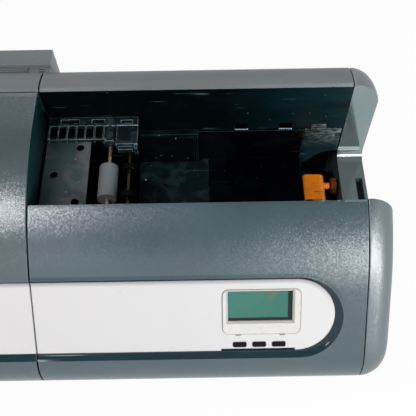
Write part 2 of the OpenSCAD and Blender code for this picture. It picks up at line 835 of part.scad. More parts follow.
// Moulded bracket at the back of the card path: a slotted rail, a comb of ribs,
// a half-round saddle over the roller shaft and a block over the feed shaft
module ribbed_bracket() place() color("#1d2e31") {
    x0 = right_x[0] + 2;
    x1 = worn_x[0] + 4;
    saddle_x = cleaner_at.x;
    rail = [band_front - 10.5, band_front + 0.4];
    comb = [band_front - 28, band_front - 10.5];
    low = guide_height;
    difference() {
        union() {
            block([x0, x1], rail, span(bracket_top, [-3, 0]));
            block([x0, saddle_x], [comb[0], comb[0] + 2], span(bracket_top, [-3, -0.6]));
            for (i = [0:6]) block(span(x0 + i * (saddle_x - 7 - x0) / 6, [0, 1.6]), comb,
                [low, bracket_top]);
            rod([saddle_x, bracket_top - 6], [comb[0] - 2, rail[1]], 6);
            block([saddle_x + 7, x1], [comb[0] - 6, rail[1]], span(bracket_top, [-8, -0.8]));
            block([x1 - 3, x1], [comb[0] - 11, rail[0]], span(bracket_top, [-12, -2]));
            block([saddle_x + 9, x1 - 5], [comb[0] - 10, comb[0]], span(bracket_top, [-10, -5]));
        }
        for (x = [[x0 + 12, x0 + 31], [x0 + 44, x0 + 57]])
            block(x, span(rail[0], [3, 8]), span(bracket_top, [-5, 1]));
        block([saddle_x + 11, x1 - 6], span(rail[0], [2, 6.5]), span(bracket_top, [-5, 1]));
        rod(cleaner_at, [plates[0], body_depth], cleaner_shaft + 0.6);
        rod(feed_at, [plates[0], body_depth], feed_shaft_radius + 0.6);
        block([saddle_x - 8, saddle_x + 8], [comb[0] - 3, body_depth],
            [low - 20, cleaner_at.y]);
        block([x0 - 1, x1 + 1], span(plates[1], [-0.3, sheet + 0.3]), [low - 20, low - 0.7]);
    }
}

module cleaning_roller() place() color("#6e7a7d") difference() {
    rod(cleaner_at, span(path_middle, [-cleaner_length / 2, cleaner_length / 2]), cleaner_radius);
    rod(cleaner_at, span(path_middle, [-cleaner_length, cleaner_length]), cleaner_shaft + running);
}

module cleaner_shaft_rod() place() color("#c8b088")
    rod(cleaner_at, plates + [0.3, sheet + 3], cleaner_shaft);

module feed_roller() place() color("#23282a")
    roller_pair(feed_at, plates + [0.3, sheet + 3], feed_shaft_radius, feed_tyre, 6, 16);

module gear(at, n, turn, bore) translate([at.x, gear_front, at.y]) rotate([-90, 0, 0])
    linear_extrude(gear_width) difference() {
        rotate(turn) polygon(gear_points(n, gear_module));
        circle(bore);
    }

module feed_gear() place() color("#d8d4c8")
    gear(feed_at, teeth[0], -pinion_turn, feed_shaft_radius + 0.02);

module drive_pinion() place() color("#c9a24a") {
    gear(pinion_at, teeth[1], -pinion_turn + 180 + 180 / teeth[1], motor_shaft + 0.02);
    rod(pinion_at, [plates[0] - 18, gear_front + gear_width + 1], motor_shaft);
}

module feed_motor() place() color("#2a2c2e") motor_body(pinion_at, plates[0]);

// Chassis plate: tall beside the card path, lower under the floor, lowest at the well
module chassis_plate(y, tall) difference() {
    union() {
        translate([0, y + sheet, 0]) rotate([90, 0, 0]) linear_extrude(sheet) difference() {
            union() {
                translate([right_x[0] + 2, tray_floor])
                    square([worn_x[0] - right_x[0] - 2, tall - tray_floor]);
                translate([worn_x[0] - 1, feed_at.y - bush_radius - 5])
                    square([bush_radius + 1, tall + 5 + bush_radius - feed_at.y]);
                translate([worn_x[0] - 1, tray_floor])
                    square([smooth_x[1] - worn_x[0] + 1.4, floor_height - panel - tray_floor]);
                translate([smooth_x[1], tray_floor])
                    square([right_x[1] - 1 - smooth_x[1], well_floor - sheet - tray_floor]);
            }
            for (x = [worn_x[0] + 20, worn_x[1] + 20], z = [50, 105])
                translate([x, z]) square([60, 35]);
            translate(cleaner_at) circle(bush_radius);
            translate(feed_at) circle(bush_radius);
        }
        block([right_x[0] + 2, right_x[1] - 1], span(y, [0, 12]), span(tray_floor, [0, sheet]));
    }
}

module front_chassis_plate() place() color("#8d9294") difference() {
    chassis_plate(plates[0], path_height + 16);
    rod(pinion_at, span(plates[0], [-1, sheet + 1]), 11.2);
}

module rear_chassis_plate() place() color("#8d9294") chassis_plate(plates[1], guide_height - 1);

module shaft_bushes() place() color("#c9b27a") for (y = plates) {
    for (shaft = [[cleaner_at, cleaner_shaft], [feed_at, feed_shaft_radius]]) difference() {
        rod(shaft[0], span(y, [0, sheet]), bush_radius - 0.02);
        rod(shaft[0], span(y, [-1, sheet + 1]), shaft[1] + running);
    }
}

// ---------- feeder end ----------

// Thumb lever: a flat tongue with a rounded grip and a stub on its free edge
module latch_lever() place() color(orange) difference() {
    union() {
        rod(lever_pin, lever_y, 4);
        block(span(lever_pin.x, [0, 13]), lever_y, span(lever_pin.y, [-4, 4]));
        rod(lever_pin + [13, -2], lever_y, 6);
        block(span(lever_pin.x, [4, 19]), lever_y, span(lever_pin.y, [-12, -2]));
        bar([lever_y[0] + 21, lever_pin.y - 3], span(lever_pin.x, [18, 24.5]), 3.6);
    }
    block(span(lever_pin.x, [5, 20]), span(lever_y[0], [9, 10.2]),
        span(lever_pin.y, [-3, 5]));
    rod(lever_pin, lever_y + [-1, 1], 2 + running);
}

// Shelf in the well, with two ears and a pin for the lever and a post for the wheel
module feeder_shelf() place() color(inner_black) {
    block([smooth_x[1] + 0.4, right_x[1] - 1], plates + [0, sheet], span(well_floor, [-sheet, 0]));
    for (y = [lever_y[0] - 4, lever_y[1] + 1]) block(span(lever_pin.x, [-4, 4]), span(y, [0, 3]),
        [well_floor - 1, lever_pin.y + 4]);
    rod(lever_pin, lever_y + [-4, 4], 2);
    block(span(wheel_at.x, [3.5, 6]), span(wheel_at.y, [-5, 5]), [well_floor - 1, wheel_at.z + 5]);
    bar([wheel_at.y, wheel_at.z], span(wheel_at.x, [-3.5, 5]), 2);
}

module gate_wheel() place() color(orange) difference() {
    bar([wheel_at.y, wheel_at.z], span(wheel_at.x, [-3, 3]), wheel_radius);
    bar([wheel_at.y, wheel_at.z], span(wheel_at.x, [-4, 4]), 2 + running);
    for (a = [0:20:340]) translate([wheel_at.x, wheel_at.y, wheel_at.z]) rotate([a, 0, 0])
        translate([-4, wheel_radius - 0.4, -0.6]) cube([8, 1, 1.2]);
}

// ---------- electronics ----------

module main_board() place() color("#1f5a3c") {
    z = tray_floor + standoff;
    fit = (board_y[1] - board_y[0]) / 86;
    difference() {
        block(board_x, board_y, span(z, [0, 1.6]));
        for (x = board_x + [16, -16]) translate([x, board_y[0] + 8, z - 1])
            cylinder(h = 4, r = 1.8);
    }
    for (p = [[22, 24, 20, 14, 3], [52, 46, 30, 30, 2.4], [94, 10, 26, 18, 12],
        [122, 36, 22, 10, 10], [98, 58, 40, 12, 4]])
        block(span(board_x[0] + p[0], [0, p[2]]), span(board_y[0] + p[1] * fit, [0, p[3] * fit]),
            span(z + 1.6, [0, p[4]]));
}

module power_supply() place() color("#7f8486") difference() {
    x = span(right_x[1], [-supply_length - 8, -8]);
    block(x, board_y, span(tray_floor, [0, supply_height]));
    for (i = [0:9]) block(span(x[0] + 8 + i * (supply_length - 14) / 10, [0, 4]),
        board_y + [8, -8], span(tray_floor + supply_height, [-1.5, 1]));
}

module fan_frame() place() color("#1a1c1d") difference() {
    block(span(fan_at.x, [-fan_side / 2, fan_side / 2]), span(body_depth - wall, [-15, 0]),
        span(fan_at.y, [-fan_side / 2, fan_side / 2]));
    difference() {
        rod(fan_at, span(body_depth - wall, [-16, 1]), fan_radius + 1.5);
        rod(fan_at, span(body_depth - wall, [-3, 0]), 9);
        for (a = [0:90:270]) translate([fan_at.x, body_depth - wall - 3, fan_at.y])
            rotate([0, a, 0]) translate([0, 0, -1.5]) cube([fan_radius + 3, 3, 3]);
    }
    rod(fan_at, span(body_depth - wall, [-14, -1]), 1.5 + running);
}

module fan_rotor() place() color("#24282a") {
    y = span(body_depth - wall, [-13, -4.5]);
    rod(fan_at, y, 8);
    rod(fan_at, y + [1, 3], 1.5);
    for (a = [0:45:315]) translate([fan_at.x, y[0] + 1, fan_at.y]) rotate([0, a, 0])
        rotate([35, 0, 0]) translate([6, -0.6, -1]) cube([fan_radius - 6.5, 1.2, 9]);
}

// Plate with a mains inlet, a rocker opening and two data sockets
module socket_plate() place() color("#26292b")
    translate([socket_at.x, body_depth, socket_at.y]) difference() {
        union() {
            block([0.2, socket_size.x - 0.2], [-wall, 0.4], [0.2, socket_size.y - 0.2]);
            block([5, 36], [-22, 0], [6, 30]);
            block([38, 59], [-18, 0], [5, 31]);
            block([64, 92], [-14, 0], [8, 28]);
        }
        block([7.5, 34.5], [-18, 1], [8, 28]);
        block([41.9, 55.1], [-20, 1], [8, 28]);
        bar([-5, 18], [40, 57], 1.5 + running);
        block([66, 78.5], [-12, 1], [12, 24]);
        block([81, 90], [-12, 1], [12, 22]);
    }

module power_switch() place() color("#101112")
    translate([socket_at.x + 48.5, body_depth - 5, socket_at.y + 18])
        rotate([-rocker_tilt, 0, 0]) {
            bar([0, 0], [-8, 8], 1.5);
            block([-6.2, 6.2], [-4, 4.4], [-9.4, 9.4]);
            rotate([rocker_tilt, 0, 0]) block([-6.2, 6.2], [0, 5.6], [-9, 0]);
            rotate([-rocker_tilt, 0, 0]) block([-6.2, 6.2], [0, 5.6], [0, 9]);
        }

// ---------- flipper module under the left cover ----------

module left_deck() place() color(inner_black) {
    across([left_x[0], left_x[1] - wall - 0.3]) intersection() {
        inner_room();
        translate([0, floor_height - panel]) square([band_front + 3, panel]);
    }
    for (x = frame_x, y = frame_at) block(span(x, [-4, 4]), span(y, [-5, 7]),
        [tray_floor, floor_height - panel]);
}

// Two plates with bores for every shaft, joined by two cross bars
module flipper_frame() place() color("#8d9294") {
    for (y = frame_at) difference() {
        union() {
            block(frame_x, span(y, [0, sheet]), [floor_height, path_height - 4]);
            for (x = roller_x) block(span(split_x + x, [-11, 11]), span(y, [0, sheet]),
                [floor_height, pinch_height + 6]);
            rod(drum_at, span(y, [0, sheet]), 12);
            block(frame_x, span(y, [0, 9]), span(floor_height, [0, sheet]));
        }
        rod(drum_at, span(y, [-1, 10]), 4 + running);
        rod(motor_at, span(y, [-1, 3]), y < path_middle ? 11.2 : 6);
        for (x = roller_x) {
            rod([split_x + x, drive_height], span(y, [-1, 3]), 2.5 + running);
            rod([split_x + x, pinch_height], span(y, [-1, 3]), 2 + running);
        }
    }
    for (x = frame_x + [3, -9]) block(span(x, [0, 6]), frame_at + [sheet, 0],
        span(floor_height, [8, 20]));
}

// Drum that turns a card over: two discs and two roller blocks with a slot between
module flip_drum() place() color("#2b3133") {
    inner = frame_at + [sheet + 3, -1.5];
    for (y = [inner[0], inner[1] - 4]) rod(drum_at, span(y, [0, 4]), drum_radius);
    rod(drum_at, [pulley_front - 2, inner[0] + 1], 4);
    rod(drum_at, [inner[1] - 1, frame_at[1] + sheet + 3], 4);
    difference() {
        block(span(drum_at.x, [-25, 25]), inner + [3, -3], span(drum_at.y, [-12, 12]));
        block(span(drum_at.x, [-26, 26]), span(path_middle, [-29, 29]), span(drum_at.y, [-1.2, 1.2]));
        for (s = [-1, 1]) rod(drum_at + [s * 16, -8.5], span(path_middle, [-20, 20]), 6.5);
    }
    for (s = [-1, 1]) rod(drum_at + [s * 16, -8.5], inner + [2, -2], 5.5);
    translate([drum_at.x, pulley_front, drum_at.y]) rotate([-90, 0, 0]) {
        cylinder(h = 6, r = pulleys[0]);
        translate([0, 0, -1.2]) cylinder(h = 1.2, r = pulleys[0] + 3);
        translate([0, 0, 6]) cylinder(h = 1.2, r = pulleys[0] + 3);
    }
}

module belt_pulley() place() color("#c9a24a") {
    rod(motor_at, span(pulley_front, [0, 6]), pulleys[1]);
    rod(motor_at, span(pulley_front, [-1.2, 0]), pulleys[1] + 2.4);
    rod(motor_at, span(pulley_front, [6, 7.2]), pulleys[1] + 2.4);
    rod(motor_at, [pulley_front, frame_at[0] + sheet + 18], motor_shaft);
}

module flip_belt() place() color("#17191a") translate([0, pulley_front + 5.7, 0])
    rotate([90, 0, 0]) linear_extrude(5.4) difference() {
        polygon(belt_points(drum_at, motor_at, pulleys[0] + belt_gap + belt_thick,
            pulleys[1] + belt_gap + belt_thick));
        polygon(belt_points(drum_at, motor_at, pulleys[0] + belt_gap, pulleys[1] + belt_gap));
    }

module flip_motor() place() color("#2a2c2e")
    translate([0, 2 * frame_at[0] + sheet, 0]) mirror([0, 1, 0])
        motor_body(motor_at, frame_at[0]);

module drive_roller(x) place() color("#23282a")
    roller_pair([split_x + x, drive_height], frame_at + [-2, sheet + 2], 2.5,
        drive_radius, 14, 18);

module pinch_roller(x) place() color("#4a5052")
    roller_pair([split_x + x, pinch_height], frame_at + [-2, sheet + 2], 2,
        pinch_radius, 12, 18);

module entry_roller() drive_roller(roller_x[0]);
module entry_pinch_roller() pinch_roller(roller_x[0]);
module exit_roller() drive_roller(roller_x[1]);
module exit_pinch_roller() pinch_roller(roller_x[1]);

// Open bin that the finished cards drop into: a low lip at the left end, where the
// cards are taken out through the end cap, and a cut-away rim on the roller side
module output_bin() place() color("#2a3234") {
    x = [-half_length + wall, frame_x[0] - 2];
    y = span(path_middle, [-bin_width / 2, bin_width / 2]);
    difference() {
        block(x, y, [floor_height, path_height - 6]);
        block(x + [sheet, -sheet], y + [sheet, -sheet],
            [floor_height + sheet, path_height]);
        block([x[0] - 1, x[0] + sheet + 1], y + [8, -8], [floor_height + 12, path_height]);
    }
}

// ---------- fasteners ----------

module screw_places() for (z = [75, hump_low - 20],
    x = [right_x[0] + 20, right_x[1] - 15, left_x[0] + 15, left_x[1] - 20])
        translate([x, body_depth, z]) rotate([-90, 0, 0]) children();

module case_screws() place() color(steel) screw_places() difference() {
    union() {
        cylinder(h = 1.8, r = 3.2);
        translate([0, 0, -6]) cylinder(h = 6, r = 1.5);
    }
    for (a = [0, 90]) rotate(a) translate([-2, -0.4, 1]) cube([4, 0.8, 1]);
}

base_tray();
rubber_feet();
front_fascia_right();
front_fascia_left();
rear_housing_right();
rear_housing_left();
service_housing();
service_housing_end();
end_cap_right();
end_cap_left();
stripe_right();
stripe_left();
display_frame();
display_glass();
panel_board();
button_left();
button_middle();
button_right();
left_cover();
cover_hinge_rod();
centre_partition();
bay_back_panel();
lower_panel_left();
lower_panel_right();
keeper_bars();
dust_shield();
worn_floor_panel();
smooth_floor_panel();
guide_plate();
ribbed_bracket();
cleaning_roller();
cleaner_shaft_rod();
feed_roller();
feed_gear();
drive_pinion();
feed_motor();
front_chassis_plate();
rear_chassis_plate();
shaft_bushes();
latch_lever();
feeder_shelf();
gate_wheel();
main_board();
power_supply();
fan_frame();
fan_rotor();
socket_plate();
power_switch();
left_deck();
flipper_frame();
flip_drum();
belt_pulley();
flip_belt();
flip_motor();
entry_roller();
entry_pinch_roller();
exit_roller();
exit_pinch_roller();
output_bin();
case_screws();
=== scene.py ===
import bpy, bmesh, math
import numpy as np
from mathutils import Matrix, Vector
from mathutils.geometry import tessellate_polygon


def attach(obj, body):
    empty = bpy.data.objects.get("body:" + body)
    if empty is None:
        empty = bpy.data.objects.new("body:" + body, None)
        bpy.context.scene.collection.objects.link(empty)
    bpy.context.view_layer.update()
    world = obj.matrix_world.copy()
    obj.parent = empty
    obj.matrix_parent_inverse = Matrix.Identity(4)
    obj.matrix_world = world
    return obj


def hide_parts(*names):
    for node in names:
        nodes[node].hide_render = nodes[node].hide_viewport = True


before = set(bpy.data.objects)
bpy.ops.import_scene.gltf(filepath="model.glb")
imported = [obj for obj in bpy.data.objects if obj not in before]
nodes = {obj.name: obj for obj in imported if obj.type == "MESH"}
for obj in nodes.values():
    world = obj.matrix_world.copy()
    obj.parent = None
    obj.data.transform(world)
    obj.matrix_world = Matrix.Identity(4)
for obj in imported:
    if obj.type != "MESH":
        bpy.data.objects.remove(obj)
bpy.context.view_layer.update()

scene = bpy.context.scene

# ---------------------------------------------------------------- camera
# The machine stands on a table and is looked at from above its front, a bit
# right of the middle, so that one sees down into the open print bay.
camera_data = bpy.data.cameras.new("bench_view")
camera_data.lens, camera_data.sensor_width, camera_data.clip_start = 57.2, 36, 0.01
camera = bpy.data.objects.new("bench_view", camera_data)
scene.collection.objects.link(camera)
camera.matrix_world = (Matrix.Translation((0.1745, -0.3494, 0.8028))
    @ Matrix.Rotation(math.radians(90 - 58.93), 4, "X")
    @ Matrix.Rotation(math.radians(-0.95), 4, "Z"))
scene.camera = camera

# ---------------------------------------------------------------- housing paint
# The housing is injection moulded in slate grey with a fleck of metal in it. Its
# skin is finely grained, and on the right module it darkens in a band above the
# channel's upper rim, which is painted shade.


def add(tree, kind, inputs=None, out=0, **settings):
    """A shader node with its settings. Each input, by name or number, is a socket to
    link or a plain value. Gives one of the node's outputs."""
    n = tree.nodes.new("ShaderNode" + kind)
    for k, v in settings.items():
        setattr(n, k, v)
    for k, v in (inputs or {}).items():
        if isinstance(v, bpy.types.NodeSocket):
            tree.links.new(v, n.inputs[k])
        else:
            n.inputs[k].default_value = v
    return n.outputs[out]


def work(tree, operation, a, b, clamp=False):
    """One sum, such as MULTIPLY, on two numbers."""
    return add(tree, "Math", {0: a, 1: b}, operation=operation, use_clamp=clamp)


def remap(tree, source, low, high, to_low=0.0, to_high=1.0):
    """The range from low to high carried over to another one, and clamped there."""
    return add(tree, "MapRange", {0: source, 1: low, 2: high, 3: to_low, 4: to_high})


def blend(tree, share, a, b):
    """Colour a turned into colour b by a share."""
    return add(tree, "Mix", {0: share, 6: a, 7: b}, 2, data_type="RGBA")


def vector(tree, operation, a, b=None, out=0):
    """One sum on one or two vectors or colours. The second of SCALE is a number."""
    second = {} if b is None else {3 if operation == "SCALE" else 1: b}
    return add(tree, "VectorMath", {0: a, **second}, out, operation=operation)


def noise(tree, at, scale, detail, **more):
    """Smooth noise with a mean of 0.5."""
    return add(tree, "TexNoise", {"Vector": at, "Scale": scale, "Detail": detail, **more})


def place(tree):
    """Coordinates that stay with the object."""
    return add(tree, "TexCoord", out="Object")


def new_group(name, inputs):
    """A node group with named inputs, each a colour or a number, that puts out a
    colour, a roughness and a normal."""
    g = bpy.data.node_groups.new(name, "ShaderNodeTree")
    for k, v in inputs.items():
        kind = "Color" if isinstance(v, tuple) else "Float"
        g.interface.new_socket(k, in_out="INPUT", socket_type="NodeSocket" + kind).default_value = v
    for k, kind in (("Colour", "Color"), ("Roughness", "Float"), ("Normal", "Vector")):
        g.interface.new_socket(k, in_out="OUTPUT", socket_type="NodeSocket" + kind)
    return g, g.nodes.new("NodeGroupInput").outputs, g.nodes.new("NodeGroupOutput").inputs


def group_material(name, group, marks, constants):
    """A Principled shader with constants on its own sockets, which takes its colour,
    roughness and normal from a node group."""
    m = bpy.data.materials.new(name)
    m.use_nodes = True
    skin = m.node_tree.nodes["Principled BSDF"].inputs
    for k, v in constants.items():
        skin[k].default_value = v
    f = add(m.node_tree, "Group", marks, node_tree=group).node
    f.name = "marks"
    for k, socket in (("Colour", "Base Color"), ("Roughness", "Roughness"), ("Normal", "Normal")):
        m.node_tree.links.new(f.outputs[k], skin[socket])
    return m


def fleck_group():
    """Metal fleck: fine cells turn the base colour lighter, darker, warmer and cooler
    from flake to flake, and tilt the normal of each: N + tilt * (cell colour - 0.5),
    so that highlights sparkle. Noise raises a low grain on top."""
    g, given, out = new_group("moulded_fleck", {"Colour": (0.1, 0.12, 0.13, 1), "Grain Size": 900.0,
        "Fleck": 0.5, "Grain Height": 0.2, "Flake Tilt": 0.3, "Roughness": 0.4})
    at = place(g)
    # the lattice of cells stands on its corner, so that no skin is parallel to it
    turned_at = add(g, "Mapping", {0: at, "Rotation": (0, -0.6155, 0.7854)})
    cell = add(g, "TexVoronoi", {"Vector": turned_at, "Scale": given["Grain Size"]}, "Color", feature="F1")
    tone = add(g, "SeparateColor", {0: cell}).node.outputs
    amount = work(g, "MULTIPLY", remap(g, tone[0], 0.0, 1.0, -1.0, 1.0), given["Fleck"])
    bright = vector(g, "SCALE", given["Colour"], work(g, "ADD", amount, 1.0))
    tint = blend(g, tone[1], (1.04, 1.0, 0.97, 1), (0.96, 1.0, 1.03, 1))
    # slow cloudiness of the skin, and a slow drift of its hue
    cloud = noise(g, at, 14.0, 3.0)
    swing = remap(g, noise(g, at, 9.0, 4.0, Roughness=0.6), 0.35, 0.65)
    drift = blend(g, swing, (1.07, 0.98, 0.97, 1), (0.93, 1.01, 1.05, 1))
    drifted = vector(g, "MULTIPLY", vector(g, "MULTIPLY", bright, tint), drift)
    g.links.new(vector(g, "SCALE", drifted, remap(g, cloud, 0.3, 0.7, 0.93, 1.07)), out["Colour"])
    g.links.new(work(g, "ADD", given["Roughness"], remap(g, cloud, 0.3, 0.7, -0.03, 0.03)), out["Roughness"])
    tilt = vector(g, "SCALE", vector(g, "SUBTRACT", cell, (0.5, 0.5, 0.5)), given["Flake Tilt"])
    unit = vector(g, "NORMALIZE", vector(g, "ADD", add(g, "NewGeometry", out="Normal"), tilt))
    g.links.new(add(g, "Bump", {"Distance": 0.0002, "Strength": given["Grain Height"],
        "Height": noise(g, at, 1500.0, 2.0), "Normal": unit}), out["Normal"])
    return g


moulded_fleck = fleck_group()


def slate_paint(name, colour, fleck, roughness, grain, size=620.0, metallic=0.0, tilt=0.0, specular=0.5,
        ior=1.5):
    """Slate housing plastic from the fleck group."""
    return group_material(name, moulded_fleck, {"Colour": (*colour, 1), "Fleck": fleck,
        "Grain Height": grain, "Flake Tilt": tilt, "Grain Size": size, "Roughness": roughness},
        {"Metallic": metallic, "Specular IOR Level": specular, "IOR": ior})


flaked = dict(size=1050, metallic=0.22, specular=1.0)
slate_right = slate_paint("slate_right_module", (0.042, 0.083, 0.102), 0.02, 0.31, 0.02, tilt=0.09, ior=1.6,
    **flaked)
slate_left = slate_paint("slate_left_module", (0.068, 0.105, 0.118), 0.02, 0.285, 0.02, tilt=0.10, **flaked)
slate_smooth = slate_paint("slate_smooth", (0.138, 0.162, 0.168), 0.03, 0.38, 0.05, metallic=0.1)
slate_under = slate_paint("slate_under", (0.030, 0.042, 0.048), 0.12, 0.5, 0.3)
# A dark teal copy of the slate for faces that lie in shade: painted shade.
slate_painted_shade = slate_paint("slate_painted_shade", (0.004, 0.032, 0.035), 0.1, 0.5, 0.2, specular=0.15)

# ---------------------------------------------------------------- housing section
# Every housing part is cut from one rounded section: crown, belly, keel and heel, and
# at the back a band and a small lip. Lengths, depths and heights are in millimetres.
half_depth = 156.0
crown, belly, keel = ((205, 101), 205.0), ((42.638, 163), 42.638), ((90.609, 30), 25.0)
heel, lip, band = ((269, 13), 8.0), ((271, 293.6), 6.0), ((246, 248), 58.0)
wall = 3.0


def trace(arcs, step=0.4):
    """A path of arcs, each (centre, radius, first angle, last angle), joined by
    straight lines: a point is centre + radius * (cos a, sin a), and its normal is
    (cos a, sin a). Gives distance along the path, points and normals as arrays."""
    points, normals = [], []
    for (centre, radius), start, end in arcs:
        count = max(3, int(abs(math.radians(end - start)) * radius / step), int(abs(end - start) / 3)) + 1
        a = np.radians(np.linspace(start, end, count))
        n = np.stack([np.cos(a), np.sin(a)], 1)
        points.append(np.array(centre) + radius * n)
        normals.append(n)
    p, n = np.concatenate(points), np.concatenate(normals)
    s = np.concatenate([[0], np.cumsum(np.linalg.norm(np.diff(p, axis=0), axis=1) + 1e-9)])
    return s, p, n


def on_path(path, s):
    """Points and unit normals at the distances s, read off a traced path."""
    q, m = (np.stack([np.interp(s, path[0], v[:, 0]), np.interp(s, path[0], v[:, 1])], -1) for v in path[1:])
    return q, m / np.linalg.norm(m, axis=-1, keepdims=True)


def where(path, reading, value):
    """Distance along the path at which a reading that only rises or falls has a value."""
    r = reading(path[1])
    order = np.argsort(r)
    return float(np.interp(value, r[order], path[0][order]))


def stations(start, end, step, fine=(), close=(0.15, 0.4, 0.8, 1.2)):
    """Places from start to end at about an even step, with extra ones close to both
    ends and to every place in fine."""
    marks = np.unique(np.round([start, end, *fine], 5))
    out = [marks]
    for a, b in zip(marks[:-1], marks[1:]):
        out.append(np.linspace(a, b, max(2, int(math.ceil((b - a) / step)) + 1)))
        out += [[a + c, b - c] for c in close if b - a > 4 * c]
    return np.unique(np.round(np.concatenate(out), 5))


def round_off(distance, radius=0.8):
    """How far a rounded edge falls back at a distance from it: radius minus the
    height of a quarter circle."""
    d = np.clip(distance, 0, radius)
    return radius - np.sqrt(np.maximum(radius ** 2 - (radius - d) ** 2, 0))


def to_metres(x, dz):
    """Length, and depth and height, in millimetres to a point array in metres."""
    return np.stack([np.broadcast_to(x, dz.shape[:-1]), dz[..., 0] - half_depth, dz[..., 1]], -1) / 1000


def grid(points, mat=0, keep=None):
    """A patch over a grid of points: the four corners of every cell that is kept."""
    rows, columns = points.shape[:2]
    i = (np.arange(rows - 1)[:, None] * columns + np.arange(columns - 1)).reshape(-1)
    f = np.stack([i, i + columns, i + columns + 1, i + 1], 1)
    return points, f if keep is None else f[keep.reshape(-1)], mat


def make_piece(name, patches, body, materials, thickness=0.0, replaced=(), weld=2e-5, sharp=32):
    """Joins patches, each (points, faces, material), into one mesh, welds their shared
    borders and turns the faces outwards. A thickness gives the skin a wall inwards."""
    verts, faces, slots = [], [], []
    total = 0
    for points, corners, mat in patches:
        verts.append(points.reshape(-1, 3))
        corners = corners.tolist() if isinstance(corners, np.ndarray) else corners
        faces += [[i + total for i in f] for f in corners]
        slots += [mat] * len(corners)
        total += len(verts[-1])
    me = bpy.data.meshes.new(name)
    me.from_pydata(np.concatenate(verts), [], faces)
    me.polygons.foreach_set("material_index", np.array(slots, np.int32))
    bm = bmesh.new()
    bm.from_mesh(me)
    bmesh.ops.remove_doubles(bm, verts=bm.verts, dist=weld)
    bmesh.ops.dissolve_degenerate(bm, edges=bm.edges, dist=1e-6)
    if thickness == 0:
        bmesh.ops.recalc_face_normals(bm, faces=bm.faces)
    bm.to_mesh(me)
    bm.free()
    me.polygons.foreach_set("use_smooth", np.ones(len(me.polygons), bool))
    me.set_sharp_from_angle(angle=math.radians(sharp))
    for m in [*materials, slate_under] if thickness else materials:
        me.materials.append(m)
    o = bpy.data.objects.new(name, me)
    scene.collection.objects.link(o)
    if thickness:
        s = o.modifiers.new("wall", "SOLIDIFY")
        s.thickness, s.offset, s.use_even_offset = thickness / 1000, -1, False
        s.material_offset = s.material_offset_rim = len(materials)
    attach(o, body)
    if replaced:
        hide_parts(*replaced)


def panel(path, x, s, holes=(), mat=0):
    """Skin over a path: columns at x, rows at the distances s, which may be one row
    or one row for each column. Both ends fall back by a quarter circle. Cells inside
    a hole, given as (x0, x1, s0, s1), are left open."""
    s = np.broadcast_to(np.asarray(s, float), (len(x), np.shape(s)[-1]))
    q, n = on_path(path, s)
    q = q - n * (round_off(x - x[0]) + round_off(x[-1] - x))[:, None, None]
    cx, cs = (x[1:, None] + x[:-1, None]) / 2, (s[:-1, 1:] + s[:-1, :-1]) / 2
    keep = np.ones(cs.shape, bool)
    for x0, x1, s0, s1 in holes:
        keep &= ~((cx > x0) & (cx < x1) & (cs > s0) & (cs < s1))
    return grid(to_metres(x[:, None], q), mat, keep)

# ---------------------------------------------------------------- base tray
# The bottom of the housing is one dark moulded tray that runs up the front as far as
# the belly and up the rear a little. Louvres under the left module let air in, and
# four stand-offs carry the main board.
x_right, x_left, x_caps = (9.6, 320.9), (-320.9, 8.4), 321.5
tray_path = trace([(((276.9, 60), 0.1), 0, 0), (heel, 0, -90), (keel, 270, 207), (belly, 207, 198.6)])
tray_vents = [(x, x + 6, *(where(tray_path, lambda p: -p[:, 0], -d) for d in (210, 130)))
    for x in -249.9 + 16 * np.arange(12)]
tray_x = stations(x_left[0], x_right[1], 40, [v for h in tray_vents for v in h[:2]])
tray_s = stations(0, tray_path[0][-1], 6, tray_vents[0][2:])
make_piece("base_tray_shell", [panel(tray_path, tray_x, tray_s, tray_vents)], "chassis",
    [slate_under], wall, ["base_tray"])


def ring_faces(rows, sides):
    """Four corners of every cell of a tube with so many rows of points round it."""
    first, k = np.arange(rows - 1)[:, None] * sides, np.arange(sides)
    i, j = (first + k).reshape(-1), (first + (k + 1) % sides).reshape(-1)
    return np.stack([i, j, j + sides, i + sides], 1)


def turned(at, profile, sides=24):
    """A turned form that stands upright: a profile of (height, radius) carried round
    its axis, on which both ends close."""
    h, r = np.array(profile, float).T
    a = np.linspace(0, 2 * np.pi, sides, endpoint=False)
    p = np.stack(np.broadcast_arrays(r[:, None] * np.cos(a), r[:, None] * np.sin(a), h[:, None]), -1)
    return (p + np.array(at, float) - (0, half_depth, 0)) / 1000, ring_faces(len(h), sides), 0


make_piece("board_standoffs", [turned((x, y, 7.6), [(0, 0), (0, 3), (8.0, 3), (8.4, 2.6), (8.4, 0)])
    for x in (22, 166) for y in (148, 222)], "chassis", [slate_under])

# ---------------------------------------------------------------- front fascia, right
# The front of the right module is one moulded shell: belly, sloping face and crown up
# to the mouth of the print bay. A bevelled channel in it frames the white stripe.
fascia_path = trace([(belly, 197.75, 138.2), (crown, 138.2, 113.97), (((122.2, 287.22), 1.2), 113.97, 0),
    (((122.2, 271.1), 1.2), 0, 0)])

# The channel is laid out on a slope, given by a place on it, the directions up it and
# out of it, and how far up it, in metres from the origin, that place lies. The foot of
# the bevel, its rise and the channel's floor are heights above the slope.
slope_at, slope_climb = np.array([15.127, 192.3]), 0.049457
slope_up, slope_out = np.array([0.666532, 0.745476]), np.array([-0.745476, 0.666532])
bed, bevel_height, channel_floor = -0.45, 3.45, -2.5


def up_slope(points):
    """How far up the slope of the stripe a point of the section lies."""
    return (points - slope_at) @ slope_up


def on_slope(x, v, n):
    """A point from its length x, its way v up the slope and its height n above it."""
    return to_metres(x, slope_at + v[..., None] * slope_up + n[..., None] * slope_out)


front = slice(0, int(np.searchsorted(fascia_path[0], where(fascia_path, up_slope, 100))))
front_v, front_s = up_slope(fascia_path[1][front]), fascia_path[0][front]
front_n = (fascia_path[1][front] - slope_at) @ slope_out
flat_columns = (stations(0, 245.8, 24) / 245.8)[:-1]
round_columns = np.linspace(-90, 90, 61)
flats, rounds = len(flat_columns), len(round_columns)


